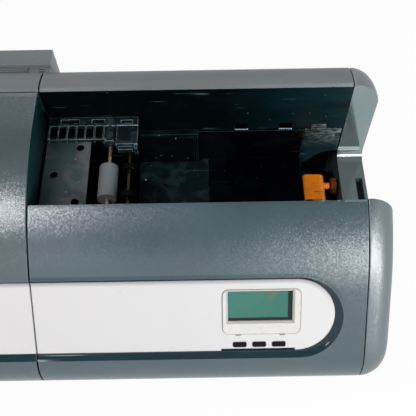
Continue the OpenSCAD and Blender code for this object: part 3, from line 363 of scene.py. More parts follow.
def channel_rim(f):
    """Outline of the channel at a share f of its bevel, 0 at the stripe and 1 outside:
    a straight lower edge, a half circle at the tip and a straight upper edge. Centre
    and radius of the half circle grow in proportion to f."""
    u = np.concatenate([flat_columns, np.ones(rounds), flat_columns[::-1]])
    a = np.radians(np.concatenate([np.full(flats, -90.0), round_columns, np.full(flats, 90.0)]))
    middle, radius = 255.4 + 3.0 * f, 36.8 + 5.3 * f
    return x_right[0] + (middle - x_right[0]) * u + radius * np.cos(a), 36.5 - 2.9 * f + radius * np.sin(a)


# The bevel ends where it meets the bulging skin, which takes a few rounds to settle.
bevel_share = np.ones(flats * 2 + rounds)
for _ in range(6):
    rim_x, rim_v = channel_rim(bevel_share)
    bevel_share = (np.interp(rim_v, front_v, front_n) - bed) / bevel_height
half = flats + rounds // 2
beyond = stations(rim_x[half], x_right[1], 4)[1:]
far_v = np.full(len(beyond), rim_v[half])
low_x, high_x = np.concatenate([rim_x[:half + 1], beyond]), np.concatenate([rim_x[:half - 1:-1], beyond])
low_end = np.interp(np.concatenate([rim_v[:half + 1], far_v]), front_v, front_s)[:, None]
high_start = np.interp(np.concatenate([rim_v[:half - 1:-1], far_v]), front_v, front_s)[:, None]
share = stations(0, 1, 0.025, close=(0.004, 0.01))
steps = [(*channel_rim(bevel_share * k), bed + bevel_height * (0.45 * k + 0.55 * k ** 2) * bevel_share)
    for k in (1, 0.97, 0.9, 0.8, 0.7, 0.6, 0.5, 0.4, 0.3, 0.2, 0.1, 0)]
level = np.zeros(len(bevel_share))
steps += [(*channel_rim(level + k), level + channel_floor) for k in (0, -0.6)]
bevel = np.stack([on_slope(*step) for step in steps], 1)


def paint_rim_shade(m, centre_x, centre_v, near, far, dark):
    """Paints shade into a colour along the channel's upper rim: with the distance from the
    line on which the tip's half circle is centred, the colour goes from full at one length
    to its product with a dark tint at the other, and only above that line."""
    t = m.node_tree
    base = t.nodes["Principled BSDF"].inputs["Base Color"]
    at = place(t)
    climb = vector(t, "DOT_PRODUCT", at, (0, *slope_up), "Value")
    past = [work(t, "MAXIMUM", work(t, "SUBTRACT", source, start), 0.0)
        for source, start in ((add(t, "SeparateXYZ", {0: at}), centre_x), (climb, slope_climb + centre_v))]
    away = vector(t, "LENGTH", add(t, "CombineXYZ", dict(enumerate(past))), out="Value")
    amount = work(t, "MULTIPLY", remap(t, past[1], 0.010, 0.030), remap(t, away, near, far))
    tint = blend(t, amount, (1, 1, 1, 1), (*dark, 1))
    t.links.new(vector(t, "MULTIPLY", base.links[0].from_socket, tint), base)


# Painted shade: a deep teal band darkens the paint above the channel's upper rim.
paint_rim_shade(slate_right, 0.2584, 0.0336, 0.0460, 0.0446, (0.10, 0.46, 0.56))
bevel_dark = slate_paint("channel_bevel", (0.013, 0.034, 0.043), 0.05, 0.09, 0.03, specular=0.35)
# The narrow bevel above the stripe is painted near black as shade.
painted_shade_black = slate_paint("bevel_painted_shade", (0.002, 0.007, 0.010), 0.05, 0.6, 0.1, specular=0.03)
upper = flats + rounds - 8
make_piece("front_fascia_shell", [panel(fascia_path, low_x, low_end * share),
    panel(fascia_path, high_x, high_start * (1 - share) + fascia_path[0][-1] * share),
    grid(bevel[:upper + 1], 1), grid(bevel[upper:], 2)],
    "chassis", [slate_right, bevel_dark, painted_shade_black], wall, ["front_fascia_right"], weld=4e-5, sharp=24)

# ---------------------------------------------------------------- front fascia, left
# The left module has the same belly and channel, and its shell ends in the channel's
# upper edge, where the hinged cover meets it.
corner_x, corner_radius = -287.5, 12.3


def sunk(path, x, s):
    """The skin of the left module with the channel sunk into it: each point drops to
    the lower of the skin and the bevel, whose height grows with the distance from the
    stripe's outline, a rectangle with round corners at its left end. Gives the patch's
    points and faces, and for each face 0 on the skin, 1 on the bevel and 2 on the bevel
    above the stripe, which is painted near black as shade."""
    q, n = on_path(path, np.broadcast_to(s, (len(x), len(s))))
    v, h, along = up_slope(q), (q - slope_at) @ slope_out, np.broadcast_to(x[:, None], (len(x), len(s)))
    f = np.maximum(np.maximum((-0.3 - v) / 8.2, (corner_x - corner_radius - along) / 8.3), (v - 73.3) / 2.4)
    for corner_v, beyond_it, reach in ((12.0, v < 12.0, 8.2), (61.0, v > 61.0, 5.0)):
        away = np.hypot(along - corner_x, v - corner_v) - corner_radius
        f = np.where((along < corner_x) & beyond_it, away / reach, f)
    drop = np.where(f < 0, channel_floor, np.minimum(h, bed + bevel_height * f)) - h
    q = q + np.minimum(drop, 0)[..., None] * slope_out
    q = q - n * (round_off(x - x[0]) + round_off(x[-1] - x))[:, None, None]
    dark = (f < 1) & (drop < -0.05)
    cell = (dark[1:, 1:] & dark[:-1, :-1]) * (1 + (v[1:, 1:] > 66))
    return *grid(to_metres(along, q))[:2], cell.reshape(-1)


def skins(points, faces, cell):
    """The patches of a sunk skin on the same points: plain skin, bevel, and the narrow
    bevel above the stripe, painted near black as shade."""
    return [(points, faces[cell == k], k) for k in (0, 1, 2)]


row_at = lambda path, v: where(path, up_slope, v)
low_path = trace([(belly, 197.75, 138.2), (crown, 138.2, 133.98)])
left_x = np.unique(np.concatenate([
    stations(*x_left, 30, [-308.1, -299.8, corner_x]), np.arange(-309, -286, 0.8), [-299.74]]))
low_s = stations(0, row_at(low_path, 73.6), 3, [row_at(low_path, v) for v in (-8.5, -8.2, -0.3, -0.24, 12, 61)])
low_s = np.unique(np.concatenate([low_s, [row_at(low_path, v) for v in np.arange(-9, 13, 0.8)]]))
make_piece("left_fascia_shell", skins(*sunk(low_path, left_x, low_s)), "chassis",
    [slate_left, bevel_dark, painted_shade_black], wall, ["front_fascia_left"], weld=4e-5, sharp=24)

# ---------------------------------------------------------------- left cover
# The cover over the card flipper is a moulded shell like the crown. Its rear edge is
# rolled into a hinge barrel, and crescent-shaped walls close it at both ends.
cover_path = trace([(crown, 133.95, 90), (((240, 302.1), 3.9), 90, -60)])
lugs = [(x - 8, x + 8) for x in (-71.0, -254.5)]
lug_s = where(cover_path, lambda p: p[:, 0] - (p[:, 1] < 302) * 1e-3, 235)
cover_x = np.unique(np.concatenate([
    stations(*x_left, 30, [-308.1, -299.8, *lugs[0], *lugs[1]]), np.arange(-309, -286, 0.8)]))
cover_s = stations(row_at(cover_path, 74.2), cover_path[0][-1], 4, [row_at(cover_path, 75.4), lug_s])
points, faces, cell = sunk(cover_path, cover_x, cover_s)
cx = np.repeat((cover_x[1:] + cover_x[:-1]) / 2, len(cover_s) - 1)
cs = np.tile((cover_s[1:] + cover_s[:-1]) / 2, len(cover_x) - 1)
for a, b in lugs:
    cell[(cx > a) & (cx < b) & (cs > lug_s)] = -1


def fill(loops, way, mat=0):
    """A flat end face: triangles that fill the first outline around the others, turned
    so that they point along the length, forwards or backwards like way."""
    points, triangles = np.concatenate(loops), []
    for a, b, c in tessellate_polygon([[Vector(p) for p in loop] for loop in loops]):
        ahead = np.cross(points[b] - points[a], points[c] - points[a])[0] * way > 0
        triangles.append([a, b, c] if ahead else [a, c, b])
    return points, triangles, mat


rim = (on_path(cover_path, cover_s)[0][:, 1] > 260.2) & (cover_s <= where(cover_path, lambda p: p[:, 0], 239.9))
# The crescent walls take the dark teal slate as painted shade.
crescents = [
    fill([np.concatenate([points[k][rim], [(*points[k][rim][e][:2], 0.260) for e in (-1, 0)]])], way, 3)
    for k, way in ((0, -1), (-1, 1))]
make_piece("left_cover_shell", [*skins(points, faces, cell), *crescents], "left_cover",
    [slate_left, bevel_dark, painted_shade_black, slate_painted_shade], wall, ["left_cover"], weld=4e-5, sharp=24)

# ---------------------------------------------------------------- rear housings
# Behind the openings a band of the section with a small lip runs along both modules
# and down the rear wall, which has louvres for the fan and a bay for the sockets.
rear_arcs = [(((246.0, 304.8), 1.2), 180, 90), (band, 90, 61.26), (lip, 61.26, 0), (((276.9, 60.6), 0.1), 0, 0)]
right_back = trace([(((246.0, 303.2), 1.2), 180, 180), *rear_arcs])
left_back = trace([(((246.0, 272.0), 1.2), 180, 180), *rear_arcs])
behind = right_back[0] > right_back[0][np.argmax(right_back[1][:, 1])]
at_height = lambda z: float(np.interp(-z, -right_back[1][behind][:, 1], right_back[0][behind]))
louvres = [(103, 155, 110 + 6 * i + 1.5, 110 + 6 * i - 1.5) for i in range(-4, 5)] + [(209.5, 307.5, 114, 78)]
louvres = [(a, b, at_height(c), at_height(d)) for a, b, c, d in louvres]
make_piece("right_rear_shell", [panel(right_back,
    stations(*x_right, 40, [v for h in louvres for v in h[:2]], (0.2, 0.5, 0.8)),
    stations(0, right_back[0][-1], 5, [v for h in louvres for v in h[2:]], (0.3,)), louvres)],
    "chassis", [slate_smooth], wall, ["rear_housing_right"])
left_columns = stations(*x_left, 40)
# On the left, the upright face behind the cover's hinge takes the dark teal slate as painted shade.
make_piece("left_rear_shell", [panel(left_back, left_columns, stations(0, 30.5, 5), mat=1),
    panel(left_back, left_columns, stations(30.5, left_back[0][-1], 5))],
    "chassis", [slate_smooth, slate_painted_shade], wall, ["rear_housing_left"])


def prism(outline, x0, x1, edge=(0.5, 0.5)):
    """A closed outline of depth and height carried along the length, its end edges
    rounded by drawing the outline in along its normals."""
    o = np.array(outline, float)
    t = np.roll(o, -1, 0) - np.roll(o, 1, 0)
    n = np.stack([t[:, 1], -t[:, 0]], 1) / (np.linalg.norm(t, axis=1, keepdims=True) + 1e-9)
    if np.sum(o[:, 0] * np.roll(o[:, 1], -1) - np.roll(o[:, 0], -1) * o[:, 1]) <= 0:
        n = -n
    d = np.array([0, 0.15, 0.5, 1.0])
    x = np.concatenate([x0 + d * edge[0], x1 - d[::-1] * edge[1]])
    back = np.concatenate([round_off(d, 1) * edge[0], round_off(d[::-1], 1) * edge[1]])
    p = to_metres(x[:, None], o - n * back[:, None, None])
    f = ring_faces(len(x), len(o)).tolist()
    for k, way in ((0, -1), (len(x) - 1, 1)):
        f += [[k * len(o) + v for v in t] for t in fill([p[k]], way)[1]]
    return p, f, 0


def barrel(centre, radius, arm, sides=40):
    """Outline of a hinge lug: most of a circle, run out into a short arm."""
    a = np.radians(np.linspace(arm + 40, arm + 320, sides))
    ring = np.array(centre) + radius * np.stack([np.cos(a), np.sin(a)], 1)
    u = np.array([math.cos(math.radians(arm)), math.sin(math.radians(arm))])
    w = np.array([-u[1], u[0]])
    return np.concatenate([ring, [centre + u * 8.6 - w * 2.2, centre + u * 8.6 + w * 1.2]])


make_piece("cover_lugs", [prism(barrel((240, 302.1), 3.5, -55), a + 1, b - 1) for a, b in lugs],
    "chassis", [slate_smooth])

# ---------------------------------------------------------------- end caps
# Both ends are closed by moulded caps that keep the section and round off towards the
# end. The right cap has a wide notch for the card feeder, the left one a card slot.
sole = (180, 5.1), 0.1
loop_path = trace([(sole, 270, 270), (keel, 270, 207), (belly, 207, 138.2), (crown, 138.2, 90),
    (band, 90, 61.26), (lip, 61.26, 0), (heel, 0, -90), (sole, -90, -90)])
loop_s = np.linspace(0, loop_path[0][-1], 2400)
loop_q, loop_n = on_path(loop_path, loop_s)
width = int(2 * 24 / (loop_s[1] - loop_s[0])) | 1
kernel = np.hanning(width + 2)[1:-1]
kernel /= kernel.sum()
soft = np.concatenate([loop_n[-width:], loop_n, loop_n[:width]])
soft = np.stack([np.convolve(soft[:, k], kernel, "same")[width:-width] for k in (0, 1)], 1)
soft /= np.sum(soft ** 2, 1, keepdims=True)
cap_turn = np.radians(np.concatenate([[0, 0.4, 1.0, 1.8], np.linspace(4, 90, 30)]))
cap_x = x_caps + 28 * np.sin(cap_turn)
cap_inset = 28 * (1 - np.cos(cap_turn)) + round_off(cap_x - x_caps, 0.8)


def cap_points(s):
    """Every slice of a cap at the distances s, one row for all or one for each: the
    section drawn in along normals that are averaged over 24 mm either way, so that
    corners stay round while the slices shrink."""
    s = np.broadcast_to(s, (len(cap_x), np.shape(s)[-1]))
    q, m = (np.stack([np.interp(s, loop_s, v[:, k]) for k in (0, 1)], -1) for v in (loop_q, soft))
    return q - cap_inset[:, None, None] * m


def cap_reach(low, high, depth):
    """For each slice, the distance along the section at which it has a given depth."""
    s = np.linspace(low, high, 900)
    return np.array([np.interp(depth, row, s) for row in cap_points(s)[..., 0]])[:, None]


def wall_rows(start, depth, shares):
    """Rows of a wall of the notch, by shares of the way from where the section ends."""
    return start[:, None] * (1 - shares[:, None]) + np.array([depth, 201.0]) * shares[:, None]


top_s = float(loop_path[0][np.argmax(loop_path[1][:, 1])])
span = stations(0, 1, 0.02, close=())
front_cap = cap_points(cap_reach(top_s - 190, top_s + 20, 123.4) * span)
rear_cap = cap_points(cap_reach(top_s, top_s + 62, 244.4) * (1 - span) + loop_s[-1] * span)
slot_x, slot_d, slot_z = (338.5, 346.0), (148.4, 212.0), (189.0, 177.0)
notch = trace([(((135.4, 201), 12.0), 180, 270), (((232.4, 201), 12.0), 270, 360)], 1.2)[1]
floor = stations(135.4, 232.4, 8, slot_d, ())[1:-1]
notch = np.concatenate([notch[notch[:, 0] < 135.4 + 1e-6], np.stack([floor, np.full(len(floor), slot_z[0])], 1),
    notch[notch[:, 0] > 232.4 - 1e-6]])
shares = np.linspace(0, 1, 12)[:-1]
notch_grid = np.concatenate([wall_rows(front_cap[:, -1], 123.4, shares),
    np.broadcast_to(notch, (len(cap_x), *notch.shape)), wall_rows(rear_cap[:, 0], 244.4, shares[::-1])], 1)
columns = np.sort(np.concatenate([cap_x, slot_x]))


def with_slot(slices):
    """The same slices with two more columns, at the sides of the slot in the floor."""
    flat = slices.reshape(len(cap_x), -1)
    return np.stack([np.interp(columns, cap_x, c) for c in flat.T], 1).reshape(len(columns), *slices.shape[1:])


front_cap, rear_cap, notch_grid = with_slot(front_cap), with_slot(rear_cap), with_slot(notch_grid)
cell_x = ((columns[1:] + columns[:-1]) / 2)[:, None]
cell_d = (notch_grid[:-1, 1:, 0] + notch_grid[:-1, :-1, 0]) / 2
cell_z = np.maximum(notch_grid[:-1, 1:, 1], notch_grid[:-1, :-1, 1])
over_slot = (cell_x > slot_x[0]) & (cell_x < slot_x[1]) & (cell_d > slot_d[0]) & (cell_d < slot_d[1])
solid = ~(over_slot & (cell_z < 190))


def side_face(k, way):
    """The flat face of the cap at one of its slices, with the notch left open."""
    ring = np.concatenate([front_cap[k], notch_grid[k][1:-1], rear_cap[k]])
    ring = ring[np.concatenate([[True], np.linalg.norm(np.diff(ring, axis=0), axis=1) > 0.02])]
    return fill([to_metres(columns[k], ring)], way)


# The slot is a pocket with four walls and a darker bottom.
pocket = np.array([(slot_x[i], slot_d[j] - half_depth, z)
    for z in slot_z for i, j in ((0, 0), (1, 0), (1, 1), (0, 1))]) / 1000
slate_notch = slate_paint("slate_notch", (0.235, 0.30, 0.305), 0.03, 0.09, 0.02, metallic=0.65)
cap_paint = slate_paint("slate_caps", (0.040, 0.080, 0.094), 0.02, 0.36, 0.02, tilt=0.09, ior=1.9, **flaked)
make_piece("right_cap_shell", [
    *(grid(to_metres(columns[:, None], q), mat, keep)
        for q, mat, keep in ((front_cap, 0, None), (rear_cap, 0, None), (notch_grid, 1, solid))),
    side_face(-1, 1), side_face(0, -1),
    (pocket, [[0, 1, 5, 4], [1, 2, 6, 5], [3, 0, 4, 7], [4, 5, 6, 7]], 2), (pocket, [[2, 3, 7, 6]], 1)],
    "chassis", [cap_paint, slate_notch, slate_under], 0, ["end_cap_right"], weld=6e-5, sharp=35)

whole = to_metres(-cap_x[:, None], cap_points(stations(0, loop_s[-1], 5, close=())))
slot_dz = np.array([(135, 188.7), (207, 188.7), (207, 265.5), (135, 265.5)])
outer, inner = (to_metres(x, slot_dz) for x in (-349.5, -x_caps))
make_piece("left_cap_shell", [grid(whole), fill([whole[-1][:-1], outer], -1), fill([whole[0][:-1], inner], 1),
    (np.concatenate([outer, inner]), ring_faces(2, 4), 1)],
    "chassis", [cap_paint, slate_under], 0, ["end_cap_left"], weld=6e-5, sharp=35)

# ---------------------------------------------------------------- service housing
# Behind the left module a flat-topped service housing stands on the rear wall, in two
# pieces with two grooves along the front of its top.


def rounded(corners, radius=0.8, count=6):
    """A closed outline with every corner rounded: points on a quadratic arc between
    two places one radius (or less) away from the corner."""
    c = np.array(corners, float)
    back, on = np.roll(c, 1, 0) - c, np.roll(c, -1, 0) - c
    long_back, long_on = (np.linalg.norm(v, axis=1, keepdims=True) for v in (back, on))
    reach = np.minimum(radius, 0.45 * np.minimum(long_back, long_on))
    a, b = c + back / long_back * reach, c + on / long_on * reach
    t = np.linspace(0, 1, count)[None, :, None]
    return ((1 - t) ** 2 * a[:, None] + 2 * t * (1 - t) * c[:, None] + t ** 2 * b[:, None]).reshape(-1, 2)


def ledge(deep=0.0):
    """Outline of the ledge in front of the housing, with two grooves 1.5 mm wide and
    so deep where the depth is not 0."""
    groove = [(0, 0), (0, deep), (1.5, deep), (1.5, 0)] if deep else []
    cut = [(277 + y + w, 294 - h) for y in (2.4, 5.6) for w, h in groove]
    return rounded([(277.05, 200), (277.05, 294), *cut, (286.2, 294), (286.2, 200)], 0.5)[::-1]


hump = rounded([(285.9, 200), (286, 295), (287, 298), (307, 298), (309, 296), (312, 260), (312, 226),
    (300, 200)])[::-1]
for name, prisms, replaced in (
        ("service_housing_top", [prism(hump, -320.9, 14.5, (0.8, 0.8))], []),
        ("service_ledge_long", [prism(ledge(1.4), -320.9, -8.8)], ["service_housing"]),
        ("service_ledge_short", [prism(ledge(), -8.2, 2.7, (0.5, 0)), prism(ledge(3.0), 2.7, 9, (0, 0)),
            prism(ledge(), 9, 14.2, (0, 0.5))], ["service_housing_end"])):
    make_piece(name, prisms, "chassis", [slate_smooth], 0, replaced)

# ---------------------------------------------------------------- seam tongues
# Each shell has a thin tongue behind its end that reaches under the next one, so that
# no light passes through the seams.
front_path = trace([(sole, 270, 270), (keel, 270, 207), (belly, 207, 138.2), (crown, 138.2, 114.5)])
rear_path = trace([(band, 89.5, 61.26), (lip, 61.26, 0), (heel, 0, -90), (sole, -90, -90)])


def tongue(path, x, sink=3.4):
    """A strip of the section between two lengths, set in by the wall and a small play."""
    q, n = on_path(path, stations(0, path[0][-1], 4, close=()))
    q = q - sink * n
    return grid(to_metres(np.array(x)[:, None], np.broadcast_to(q, (2, *q.shape))))


make_piece("seam_tongues", [tongue(p, x) for p in (front_path, rear_path)
    for x in ((x_right[1] - 3, 321.45), (-327, x_left[0] - 0.05))], "chassis", [slate_under], 1.2)

# ---------------------------------------------------------------- rubber feet
# Turned rubber feet are screwed under the tray. They are matt black, a little
# greyed by the table and specked with dust.


def working_finish_group():
    """Finish of a working part. Edges take the edge colour where the face normal leaves a
    rounded normal: bare wear in most finishes, a painted highlight in some. Patches come
    from slow noise, thin scratches from noise stretched 12:1 and broken up by a second
    noise, specks from sparse cells, and a grain lifts the normal."""
    g, given, out = new_group("working_finish", {"Colour": (0.1, 0.1, 0.1, 1),
        "Edge Colour": (0.5, 0.5, 0.5, 1), "Edge Amount": 0.3, "Edge Width": 0.0005,
        "Patch Colour": (0.2, 0.2, 0.2, 1), "Patches": 0.2, "Patch Size": 40.0, "Scratches": 0.2,
        "Specks": 0.0, "Grain": 0.15, "Grain Size": 1200.0, "Cloud": 0.10, "Roughness": 0.4})
    at = place(g)
    times = lambda a, b: work(g, "MULTIPLY", a, b)
    # edges in the edge colour: bare wear in most finishes, a painted highlight in some
    soft_edge = add(g, "Bevel", {"Radius": given["Edge Width"]}, samples=6)
    agree = vector(g, "DOT_PRODUCT", soft_edge, add(g, "NewGeometry", out="Normal"), 1)
    amount = work(g, "SUBTRACT", times(given["Edge Amount"], 2.0), 1.0)
    rub = remap(g, noise(g, at, 160.0, 3.0), 0.35, 0.65)
    bare_and_lit_edge = times(remap(g, agree, 0.985, 0.90), work(g, "ADD", rub, amount, True))
    # patches, scratches and specks
    patch = times(remap(g, noise(g, at, given["Patch Size"], 5.0, Distortion=0.7), 0.50, 0.66),
        given["Patches"])
    lines = []
    for turn, size, low, high in (((0.15, 0.1, 0.55), (22, 300, 260), 0.715, 0.76),
            ((0.1, 0.2, -0.95), (16, 340, 240), 0.73, 0.77)):
        lay = add(g, "Mapping", {0: at, "Rotation": turn, "Scale": size})
        lines.append(remap(g, noise(g, lay, 1.0, 1.0), low, high))
    broken = remap(g, noise(g, at, 55.0, 2.0), 0.42, 0.6)
    scratch = times(times(work(g, "MAXIMUM", *lines), broken), given["Scratches"])
    cell = add(g, "TexVoronoi", {"Vector": at, "Scale": 170.0}).node.outputs
    chosen = work(g, "GREATER_THAN", add(g, "SeparateColor", {0: cell["Color"]}), 0.955)
    dot = times(times(remap(g, cell["Distance"], 0.20, 0.12), chosen), given["Specks"])
    # colour
    cloud = work(g, "ADD", times(remap(g, noise(g, at, 18.0, 3.0), 0.3, 0.7, -1.0, 1.0), given["Cloud"]), 1.0)
    c = blend(g, patch, vector(g, "SCALE", given["Colour"], cloud), given["Patch Colour"])
    c = blend(g, bare_and_lit_edge, blend(g, scratch, c, given["Edge Colour"]), given["Edge Colour"])
    g.links.new(blend(g, dot, c, (0.75, 0.82, 0.82, 1)), out["Colour"])
    # roughness and normal
    r = work(g, "ADD", given["Roughness"], remap(g, noise(g, at, 46.0, 4.0), 0.3, 0.7, -0.07, 0.07))
    r = work(g, "ADD", r, times(patch, 0.15))
    g.links.new(work(g, "ADD", r, times(dot, 0.4), True), out["Roughness"])
    rise = work(g, "SUBTRACT", noise(g, at, given["Grain Size"], 2.0), times(scratch, 0.8))
    g.links.new(add(g, "Bump", {"Distance": 0.00015, "Strength": given["Grain"], "Height": rise,
        "Normal": soft_edge}), out["Normal"])
    return g


working_finish = working_finish_group()


def finish(name, colour, roughness, edge, patch, marks, cloud=0.10, metallic=0.0, coat=0.0, specular=0.5):
    """A finish from the working finish group: edge is the colour, amount and width of the
    coloured edges (bare wear, and in some finishes a painted highlight), patch the colour,
    share and size of the patches, and marks the amount of scratches, specks and grain,
    and the fineness of the grain."""
    given = dict(zip(("Colour", "Roughness", "Cloud", "Edge Colour", "Edge Amount", "Edge Width"),
        (colour, roughness, cloud, *edge)))
    given.update(zip(("Patch Colour", "Patches", "Patch Size"), patch))
    given.update(zip(("Scratches", "Specks", "Grain", "Grain Size"), marks))
    marks = {k: (*v, 1) if isinstance(v, tuple) else v for k, v in given.items()}
    return group_material(name, working_finish, marks, {"Metallic": metallic, "Coat Weight": coat,
        "Coat Roughness": 0.1, "Specular IOR Level": specular})


def stain(m, share, colour):
    """Turns the colour of a finish into another one by a share."""
    t = m.node_tree
    stained = blend(t, share, t.nodes["marks"].outputs["Colour"], (*colour, 1))
    t.links.new(stained, t.nodes["Principled BSDF"].inputs["Base Color"])


def clad(material, *names):
    """Puts a finish into every slot of the named parts."""
    for n in names:
        for s in nodes[n].material_slots:
            s.material = material


clad(finish("foot_rubber_matt", (0.022, 0.022, 0.023), 0.8, ((0.07, 0.07, 0.07), 0.6, 0.0006),
    ((0.06, 0.06, 0.058), 0.5, 120.0), (0.1, 0.4, 0.4, 700.0)), "rubber_feet")

# ---------------------------------------------------------------- chassis and inner walls
# Two black-passivated steel plates stand across the right module and carry the shafts.
# The partition, the back panel of the bay and the left deck are black sheet as well.
black_sheet = finish("black_sheet", (0.0006, 0.0028, 0.0034), 0.3, ((0.05, 0.1, 0.11), 0.35, 0.0004),
    ((0.002, 0.007, 0.009), 0.5, 26.0), (0.5, 0.1, 0.12), specular=0.1)
clad(black_sheet, "front_chassis_plate", "rear_chassis_plate", "centre_partition", "left_deck")

# The back panel carries a painted teal sheen, clouded by noise, towards its right end.
back_panel_sheen = black_sheet.copy()
back_panel_sheen.name = "black_sheet_painted_sheen"
t = back_panel_sheen.node_tree
t.nodes["marks"].inputs["Scratches"].default_value = 0.9
at = place(t)
side = remap(t, add(t, "SeparateXYZ", {0: at}), 0.19, 0.30, 0.0, 0.85)
sheen_cloud = noise(t, add(t, "Mapping", {0: at, "Scale": (9, 30, 26), "Rotation": (0.0, 0.12, 0.0)}), 1.0, 5.0,
    Distortion=0.6)
stain(back_panel_sheen, work(t, "MULTIPLY", side, remap(t, sheen_cloud, 0.32, 0.68, 0.2, 1.0)), (0.006, 0.034, 0.042))
clad(back_panel_sheen, "bay_back_panel")

# ---------------------------------------------------------------- floors and panels of the bay
# The lower panels, the smooth floor and the feeder's shelf are moulded in glossy black
# plastic. The worn floor by the rollers is a dark teal, scuffed and spotted with lint.
clad(finish("bay_gloss", (0.0006, 0.0008, 0.0026), 0.2, ((0.045, 0.085, 0.095), 0.8, 0.0006),
    ((0.004, 0.009, 0.012), 0.4, 20.0), (0.1, 0.02, 0.05), specular=0.12), "smooth_floor_panel",
    "lower_panel_right", "feeder_shelf")
clad(finish("lower_panel_black", (0.001, 0.0038, 0.0046), 0.3, ((0.03, 0.075, 0.08), 0.75, 0.0009),
    ((0.007, 0.02, 0.024), 0.6, 30.0), (0.5, 0.25, 0.1), specular=0.15), "lower_panel_left")
clad(finish("worn_teal_floor", (0.0025, 0.0105, 0.013), 0.42, ((0.045, 0.1, 0.105), 0.55, 0.0008),
    ((0.014, 0.042, 0.048), 1.0, 60.0), (0.7, 1.0, 0.3, 500.0), specular=0.2), "worn_floor_panel")

# ---------------------------------------------------------------- guide plate and bracket
# Cards slide over a pressed plate, rubbed to a pinkish grey where they touch it. The
# ribbed bracket above it is black casting with pale teal along every edge, a painted highlight.
clad(finish("rubbed_plate", (0.046, 0.074, 0.079), 0.36, ((0.26, 0.3, 0.3), 0.6, 0.0006),
    ((0.215, 0.185, 0.195), 0.6, 26.0), (0.45, 0.15, 0.25, 900.0), metallic=0.3, specular=0.3), "guide_plate")
clad(finish("bracket_casting", (0.003, 0.0085, 0.0105), 0.38, ((0.24, 0.38, 0.4), 0.75, 0.0009),
    ((0.03, 0.048, 0.052), 0.7, 90.0), (0.6, 0.35, 0.4, 700.0), specular=0.2), "ribbed_bracket")

# A strip of black sheet lies on the plate under the ribs, painted shade under the windows.
shadow_sheet = finish("black_shadow_sheet", (0.0012, 0.0014, 0.0016), 0.95, ((0.01, 0.012, 0.012), 0.3),
    ((0.004, 0.005, 0.005), 0.5, 120.0), (0.0, 0.15, 0.8, 1400.0), specular=0.05)
make_piece("rib_shadow_sheet", [prism(rounded([(217.4, 256.5), (217.4, 257.1), (234.6, 257.1), (234.6, 256.5)], 0.2),
    13.4, 68.6, (0.2, 0.2))], "chassis", [shadow_sheet])

# ---------------------------------------------------------------- rollers and drive
# A sticky grey roller on a brass rod cleans the cards, and black rubber tyres on a steel
# shaft feed them, turned by a pinion and a nylon gear from a small can motor.


def lathed(m, pitch, depth):
    """Adds fine lathe rings to a finish: a wave along Y lifts the normal."""
    t = m.node_tree
    rings = add(t, "TexWave", {"Vector": place(t), "Scale": pitch, "Distortion": 0.6, "Detail": 2.0,
        "Detail Scale": 1.0}, 1, bands_direction="Y")
    bump = add(t, "Bump", {"Strength": depth, "Distance": 0.0001, "Height": rings,
        "Normal": t.nodes["marks"].outputs["Normal"]})
    t.links.new(bump, t.nodes["Principled BSDF"].inputs["Normal"])
    return m


clad(lathed(finish("brass_rod", (0.8, 0.64, 0.45), 0.26, ((0.85, 0.75, 0.6), 0.4),
    ((0.3, 0.2, 0.11), 0.4, 150.0), (0.4, 0.0, 0.1), metallic=0.95), 900.0, 0.3), "cleaner_shaft_rod",
    "shaft_bushes", "drive_pinion", "belt_pulley")
clad(lathed(finish("sticky_roller", (0.145, 0.17, 0.175), 0.62, ((0.1, 0.13, 0.135), 0.7, 0.0005),
    ((0.165, 0.18, 0.18), 0.5, 60.0), (0.1, 0.15, 0.35, 1600.0)), 260.0, 0.12), "cleaning_roller")
clad(lathed(finish("ground_steel", (0.42, 0.44, 0.45), 0.28, ((0.75, 0.78, 0.8), 0.4),
    ((0.22, 0.22, 0.21), 0.35, 120.0), (0.5, 0.0, 0.12), metallic=0.95), 700.0, 0.2), "cover_hinge_rod",
    "case_screws")


def bare_core(m, x0, z0, limit, core_colour, core_roughness):
    """Gives a turned part a second finish: closer to its axis than limit it is bare
    metal. The distance is the length of (x - x0, z - z0)."""
    t = m.node_tree
    skin, marks = t.nodes["Principled BSDF"].inputs, t.nodes["marks"].outputs
    away = vector(t, "MULTIPLY", vector(t, "SUBTRACT", place(t), (x0, 0, z0)), (1, 0, 1))
    inside = work(t, "LESS_THAN", vector(t, "LENGTH", away, out="Value"), limit)
    stain(m, inside, core_colour)
    for socket, outer, inner in (("Metallic", 0.0, 0.9), ("Roughness", marks["Roughness"], core_roughness)):
        t.links.new(add(t, "Mix", {0: inside, 2: outer, 3: inner}, data_type="FLOAT"), skin[socket])
    return m


tyre = ((0.008, 0.009, 0.009), 0.5), ((0.003, 0.0035, 0.0035), 0.4, 90.0), (0.05, 0.05, 0.35, 900.0)
clad(bare_core(finish("feed_tyres", (0.001, 0.0014, 0.0016), 0.6, *tyre, specular=0.06), 0.0955, 0.2505, 0.0032,
    (0.055, 0.048, 0.034), 0.22), "feed_roller")
clad(finish("nylon_gear", (0.35, 0.33, 0.28), 0.42, ((0.55, 0.53, 0.46), 0.6, 0.0003),
    ((0.16, 0.14, 0.1), 0.5, 120.0), (0.1, 0.0, 0.12)), "feed_gear")
clad(finish("motor_can", (0.045, 0.047, 0.05), 0.34, ((0.35, 0.36, 0.37), 0.55, 0.0004),
    ((0.08, 0.08, 0.078), 0.4, 60.0), (0.4, 0.0, 0.12), metallic=0.8), "feed_motor", "flip_motor")
# The near-white edge colour of the keeper bars is a painted highlight along their edges.
clad(finish("keeper_steel", (0.4, 0.62, 0.68), 0.22, ((0.8, 0.95, 0.98), 0.9, 0.0004),
    ((0.05, 0.1, 0.12), 0.5, 150.0), (0.3, 0.0, 0.1), metallic=0.9), "keeper_bars")

